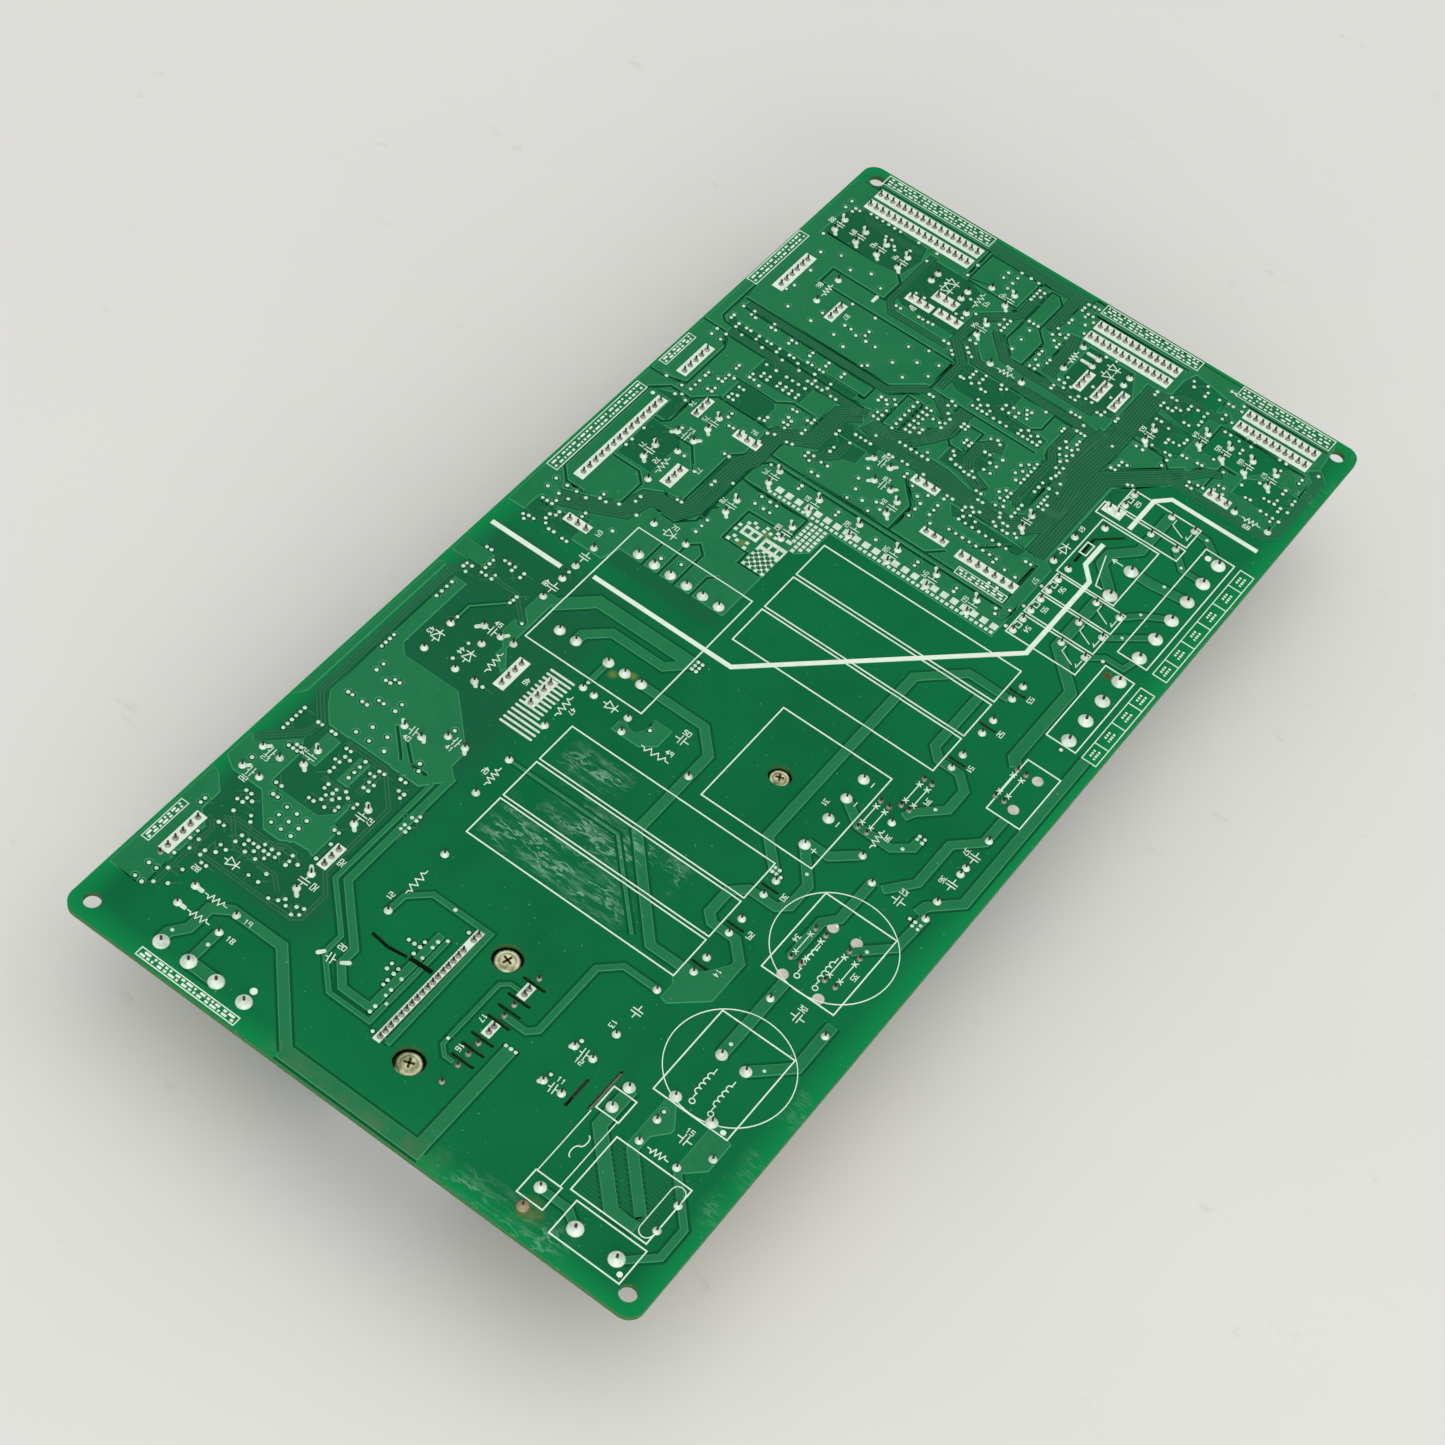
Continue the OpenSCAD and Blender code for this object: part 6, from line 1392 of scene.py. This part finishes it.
class BOARD_OT_slit(bpy.types.Operator):
    """Paints the narrow milled slit across the module's drive tracks as a dark strip of painted shadow"""
    bl_idname = "board.slit"
    bl_label = "Slit"

    def execute(self, context):
        piece = relief("milled_slit_painted_shadow", [ribbon(line, width) for width, line in SLIT], [], SLIT_RISE,
                       SHADE_STRIP_SLOPE)
        black = ridge_finish("slit_shadow", (6, 12, 7), (16, 24, 14))
        dress(piece, "laminate", black, black)
        return {"FINISHED"}


class BOARD_OT_legend(bpy.types.Operator):
    """Prints the white legend"""
    bl_idname = "board.legend"
    bl_label = "Legend"

    def execute(self, context):
        sizes = millimetres(context.scene.board_sizes)
        line = sizes.symbol_line
        shapes = [box(*band) for band in BANDS] + [ribbon(path, width) for width, path in BARRIERS]
        for rectangle in OUTLINES:
            shapes += outline(*rectangle, sizes.legend_line)
        for x, y in CHOKE_CENTRES:
            shapes += [ribbon(arc(x, y, CHOKE_RADIUS, start, start + 180, 32), line) for start in (0, 180)]
        for drawing, pairs in ((resistor_symbol, RESISTORS), (diode_symbol, DIODES),
                               (capacitor_symbol, CAPACITORS), (jumper_symbol, JUMPERS)):
            for start, end in pairs:
                shapes += drawing(start, end, line)
        shapes += [ribbon(arc(18.9, 10.6, 1.7, 90, 270, 6), line),
                   ribbon(arc(30.2, 10.6, 1.7, -90, 90, 6), line),
                   ribbon(((18.9, 12.3), (30.2, 12.3)), line)]
        for y in (22, 17):
            shapes += coil_symbol(55.6, y, line)
            shapes += coil_symbol(96.8, y + 0.8, line)
        shapes += relay_symbols(line) + label_bars(line)
        shapes += [ribbon(((15.4, 37), (34.3, 37)), line), ribbon(((15.4, 30.9), (35.6, 30.9)), line)]
        wave = arc(24, 0, 1.7, 180, 0, 6) + arc(27.4, 0, 1.7, 180, 360, 6)[1:]
        shapes.append(ribbon([(x, 33.6 + y / 2) for x, y in wave], line))
        for x, y, radius in ((7.2, 8.9, 0.7), (48.3, 11.8, 0.7), (10.1, 111, 0.9), (262.5, 13.3, 0.9),
                             (211, 151.6, 0.6)):
            shapes.append(disc(x, y, radius))
        for x in (121.8, 131.6, 139.1, 146.4):
            shapes.append(ribbon(((x - 0.8, 38.8), (x + 0.8, 38.8)), line))
        shapes.append(ribbon(((121.8, 38), (121.8, 39.6)), line))
        for k, (x, y, turn) in enumerate(MARKS):
            shapes += numerals(str(FIRST_NUMBER + k), x, y, turn, sizes.mark_height, NUMBER_LINE)
        cuts = [disc(x, y, radius * 0.98, 12) for node in ("power_joints", "lead_joints", "header_joints")
                for x, y, radius, tall in islands(node)]
        cuts += [disc(x, y, sizes.via_radius, 10) for x, y in VIAS]
        piece = relief("printed_legend", shapes, cuts, sizes.legend_rise, LEGEND_SLOPE)
        ink = legend_finish(context.scene.board_colours)
        dress(piece, "legend", ink, ink)
        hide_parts("legend_print")
        return {"FINISHED"}


class BOARD_OT_joints(bpy.types.Operator):
    """Models the soldered joints with the cut ends of their leads"""
    bl_idname = "board.joints"
    bl_label = "Solder joints"

    def execute(self, context):
        solder = solder_finish(context.scene.board_colours)
        lead = lead_tip_shade_finish()
        # The header pins' solder is drawn grey, darker than the other joints, as painted shade beside the
        # pins
        shaded_pin_solder = plain_finish("pin_solder_painted_shade", (112, 106, 96), (178, 174, 162), 900, (0.35, 0.55), 0.3)
        for node, profile, steps, thick, reach, metal in (
                ("power_joints", FINE_CONE, 18, 0.2, 1.15, solder),
                ("lead_joints", COARSE_CONE, 9, 0.27, 1.6, solder),
                ("header_joints", COARSE_CONE, 8, 0.42, 1.5, shaded_pin_solder)):
            cone = spun("cone", profile, steps)
            tip = spun("tip", [(thick, 0.3), (thick * 0.9, reach), (0, reach)], 6)
            for vertex in tip.data.vertices:
                if vertex.co.z > 0.9:
                    vertex.co.z += 0.15 * vertex.co.x
            places = [(x, y, radius, tall, 0.7 * k) for k, (x, y, radius, tall) in enumerate(islands(node))]
            piece = copies(node.replace("joints", "solder"), (cone, tip), places)
            dress(piece, "solder", metal, lead)
            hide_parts(node)
        return {"FINISHED"}


class BOARD_OT_vias(bpy.types.Operator):
    """Fills the plated holes with solder"""
    bl_idname = "board.vias"
    bl_label = "Plated holes"

    def execute(self, context):
        sizes = millimetres(context.scene.board_sizes)
        dome = spun("dome", HOLE_DOME, 8)
        places = [(x, y, sizes.via_radius * (0.94 + 0.06 * (k % 3)), sizes.via_rise, 0.5 * k)
                  for k, (x, y) in enumerate(VIAS)]
        piece = copies("plated_holes", (dome,), places)
        tin = plain_finish("hole_solder", (182, 212, 189), (212, 240, 216), 700, (0.45, 0.6), 0.05)
        dress(piece, "solder", tin)
        return {"FINISHED"}


class BOARD_OT_tinned(bpy.types.Operator):
    """Models the tinned bars, dots and tails that carry heat and hold back solder"""
    bl_idname = "board.tinned"
    bl_label = "Tinned areas"

    def execute(self, context):
        sizes = millimetres(context.scene.board_sizes)
        shapes = [capsule((x, y), (x + across, y + up), TAIL_WIDTH) for (x, y), (across, up) in TAILS]
        squares = [(204.4, 42.6 + 1.46 * k, 0.56) for k in range(47)]
        squares += [(206.4, 43 + 2.96 * k, 1.05) for k in range(23)]
        for y, first, count in ((95.8, 195.2, 6), (94.35, 192.4, 8), (92.9, 193.8, 7), (91.45, 195.2, 6)):
            squares += [(first + 1.45 * k, y, 0.58) for k in range(count)]
        for k in range(4):
            squares += [(181 + 1.97 * level, 101.2 - 1.85 * k, 0.54) for level in range(4)]
            squares += [(182 + 1.97 * level, 100.27 - 1.85 * k, 0.46) for level in range(3) if k < 3]
        squares += [(x, y, 0.56) for x, y in HATCH_SQUARES]
        shapes += [box(x - half, y - half, x + half, y + half) for x, y, half in squares]
        shapes += [box(*bar_box) for bar_box in HATCH_BARS]
        for k in range(14):
            x = 103.4 + 1.5 * k
            shapes.append(capsule((x, 107.4 if k < 4 else 109.7), (x, 116.4), 0.72))
        piece = relief("tinned_areas", shapes, [], sizes.tin_rise, TIN_SLOPE)
        tin = plain_finish("tinned_print", (197, 215, 195), (222, 240, 220), 700, (0.5, 0.65), 0.05)
        dress(piece, "solder", tin, tin)
        return {"FINISHED"}


class BOARD_OT_finishes(bpy.types.Operator):
    """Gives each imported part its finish"""
    bl_idname = "board.finishes"
    bl_label = "Part finishes"

    def execute(self, context):
        colours = context.scene.board_colours
        slots = {
            "laminate": laminate_finish(colours),
            "legend": bpy.data.materials["legend_ink"],
            "solder": bpy.data.materials["solder"],
            "copper_wire": wire_finish_with_crease_shade(),
        }
        for slot, values in PART_FINISHES.items():
            slots[slot] = plain_finish(*values)
        for part in frame["record"]["subparts"]:
            obj = frame["nodes"][part["node"]]
            obj.data.materials.clear()
            obj.data.materials.append(slots[part["material_slot"]])
        pads = plain_finish("flat_tin", (176, 172, 158), (208, 205, 194), 500, (0.5, 0.65), 0.05)
        frame["nodes"]["flat_pads"].data.materials[0] = pads
        return {"FINISHED"}


class BOARD_OT_screws(bpy.types.Operator):
    """Models the domed faces of the screws in their access holes, with dark bars of painted shade in the
    place of the cross recesses
    """
    bl_idname = "board.screws"
    bl_label = "Screw faces"

    def execute(self, context):
        recess_shade = ridge_finish("screw_recess_painted_shade", (52, 40, 18), (84, 68, 34))
        for node in ("module_screws", "bridge_screw"):
            spots = islands(node)
            top = spots[0][3]
            dome = spun("dome", [(radius, top + rise) for radius, rise in SCREW_FACE], 24)
            # Dark bars over the dome, painted shade for the cross recesses
            arms = ((0.86, 0.2), (0.2, 0.86))
            recess_shade_bars = [bar(length, width, top + 0.5, top + 0.68) for length, width in arms]
            places = [(x, y, radius, 1.0, 0.4 + 0.9 * k) for k, (x, y, radius, tall) in enumerate(spots)]
            piece = copies(node + "_faces", (dome, *recess_shade_bars), places)
            dress(piece, "brass_screw", bpy.data.materials["screw_plating_painted_highlight"], recess_shade, recess_shade)
        return {"FINISHED"}


class BOARD_OT_stage(bpy.types.Operator):
    """Sets the table, the light and the camera"""
    bl_idname = "board.stage"
    bl_label = "Stage"

    def execute(self, context):
        settings = context.scene.board_stage
        scene = context.scene
        bpy.ops.object.select_all(action="DESELECT")
        bpy.ops.mesh.primitive_plane_add(size=TABLE_SIZE)
        table = context.object
        table.name = "table"
        finish = Finish("table_top")
        shade = tuple(c * 0.97 for c in settings.floor)
        colour = finish.blend(finish.wander(6, 4), tuple(settings.floor), shade)
        stains = finish.steps(finish.noise(90, 4, (1, 0.4, 1), 0.7), 0.66, 0.74)
        colour = finish.tint(stains, 0.3, colour, paint(190, 184, 172))
        table.data.materials.append(finish.surface(colour, finish.wander(9, 2, 0.6, 0.7)))

        world = bpy.data.worlds.new("sky")
        scene.world = world
        world.use_nodes = True
        sky = next(n for n in world.node_tree.nodes if n.type == "BACKGROUND")
        sky.inputs["Color"].default_value = (1, 1, 1, 1)
        sky.inputs["Strength"].default_value = settings.sky

        for (name, size, spot), power in zip(LAMPS, (settings.key, settings.fill)):
            bpy.ops.object.light_add(type="AREA", location=spot)
            lamp = context.object
            lamp.name = name
            lamp.data.energy = power
            lamp.data.size = size
            lamp.rotation_euler = (-lamp.location).to_track_quat("-Z", "Y").to_euler()

        camera = bpy.data.objects.new("camera", bpy.data.cameras.new("camera"))
        scene.collection.objects.link(camera)
        camera.data.lens = settings.lens
        camera.data.sensor_width = PICTURE_WIDTH
        camera.data.clip_start = 0.01
        forward = Vector(CAMERA_FORWARD).normalized()
        right = Vector(CAMERA_RIGHT).normalized()
        turn = Matrix((right, right.cross(forward), -forward)).transposed()
        centre = (BOARD_LOW + BOARD_HIGH) / 2
        spot = Vector((centre.x, centre.y, BOARD_HIGH.z)) + Vector(CAMERA_OFFSET)
        camera.matrix_world = Matrix.Translation(spot) @ turn.to_4x4()
        scene.camera = camera
        scene.view_settings.view_transform = "Standard"
        return {"FINISHED"}


class BOARD_PT_panel(bpy.types.Panel):
    """Lists the steps that dress the board"""
    bl_idname = "BOARD_PT_panel"
    bl_label = "Control Board"
    bl_space_type = "VIEW_3D"
    bl_region_type = "UI"
    bl_category = "Board"

    def draw(self, context):
        layout = self.layout
        for step in STEPS:
            layout.operator(step.bl_idname)
        for group in (context.scene.board_sizes, context.scene.board_colours, context.scene.board_stage):
            column_layout = layout.column()
            for name in group.__annotations__:
                column_layout.prop(group, name)


STEPS = (BOARD_OT_copper, BOARD_OT_traces, BOARD_OT_slit, BOARD_OT_legend, BOARD_OT_joints, BOARD_OT_vias,
         BOARD_OT_tinned, BOARD_OT_finishes, BOARD_OT_screws, BOARD_OT_stage)
CLASSES = (BoardSizes, BoardColours, StageSettings, *STEPS, BOARD_PT_panel)


def register():
    for cls in CLASSES:
        bpy.utils.register_class(cls)
    bpy.types.Scene.board_sizes = bpy.props.PointerProperty(type=BoardSizes)
    bpy.types.Scene.board_colours = bpy.props.PointerProperty(type=BoardColours)
    bpy.types.Scene.board_stage = bpy.props.PointerProperty(type=StageSettings)


def unregister():
    del bpy.types.Scene.board_sizes
    del bpy.types.Scene.board_colours
    del bpy.types.Scene.board_stage
    for cls in reversed(CLASSES):
        bpy.utils.unregister_class(cls)


def main():
    register()
    bpy.ops.board.copper()
    bpy.ops.board.traces()
    bpy.ops.board.slit()
    bpy.ops.board.legend()
    bpy.ops.board.joints()
    bpy.ops.board.vias()
    bpy.ops.board.tinned()
    bpy.ops.board.finishes()
    bpy.ops.board.screws()
    bpy.ops.board.stage()


if __name__ == "__main__":
    main()
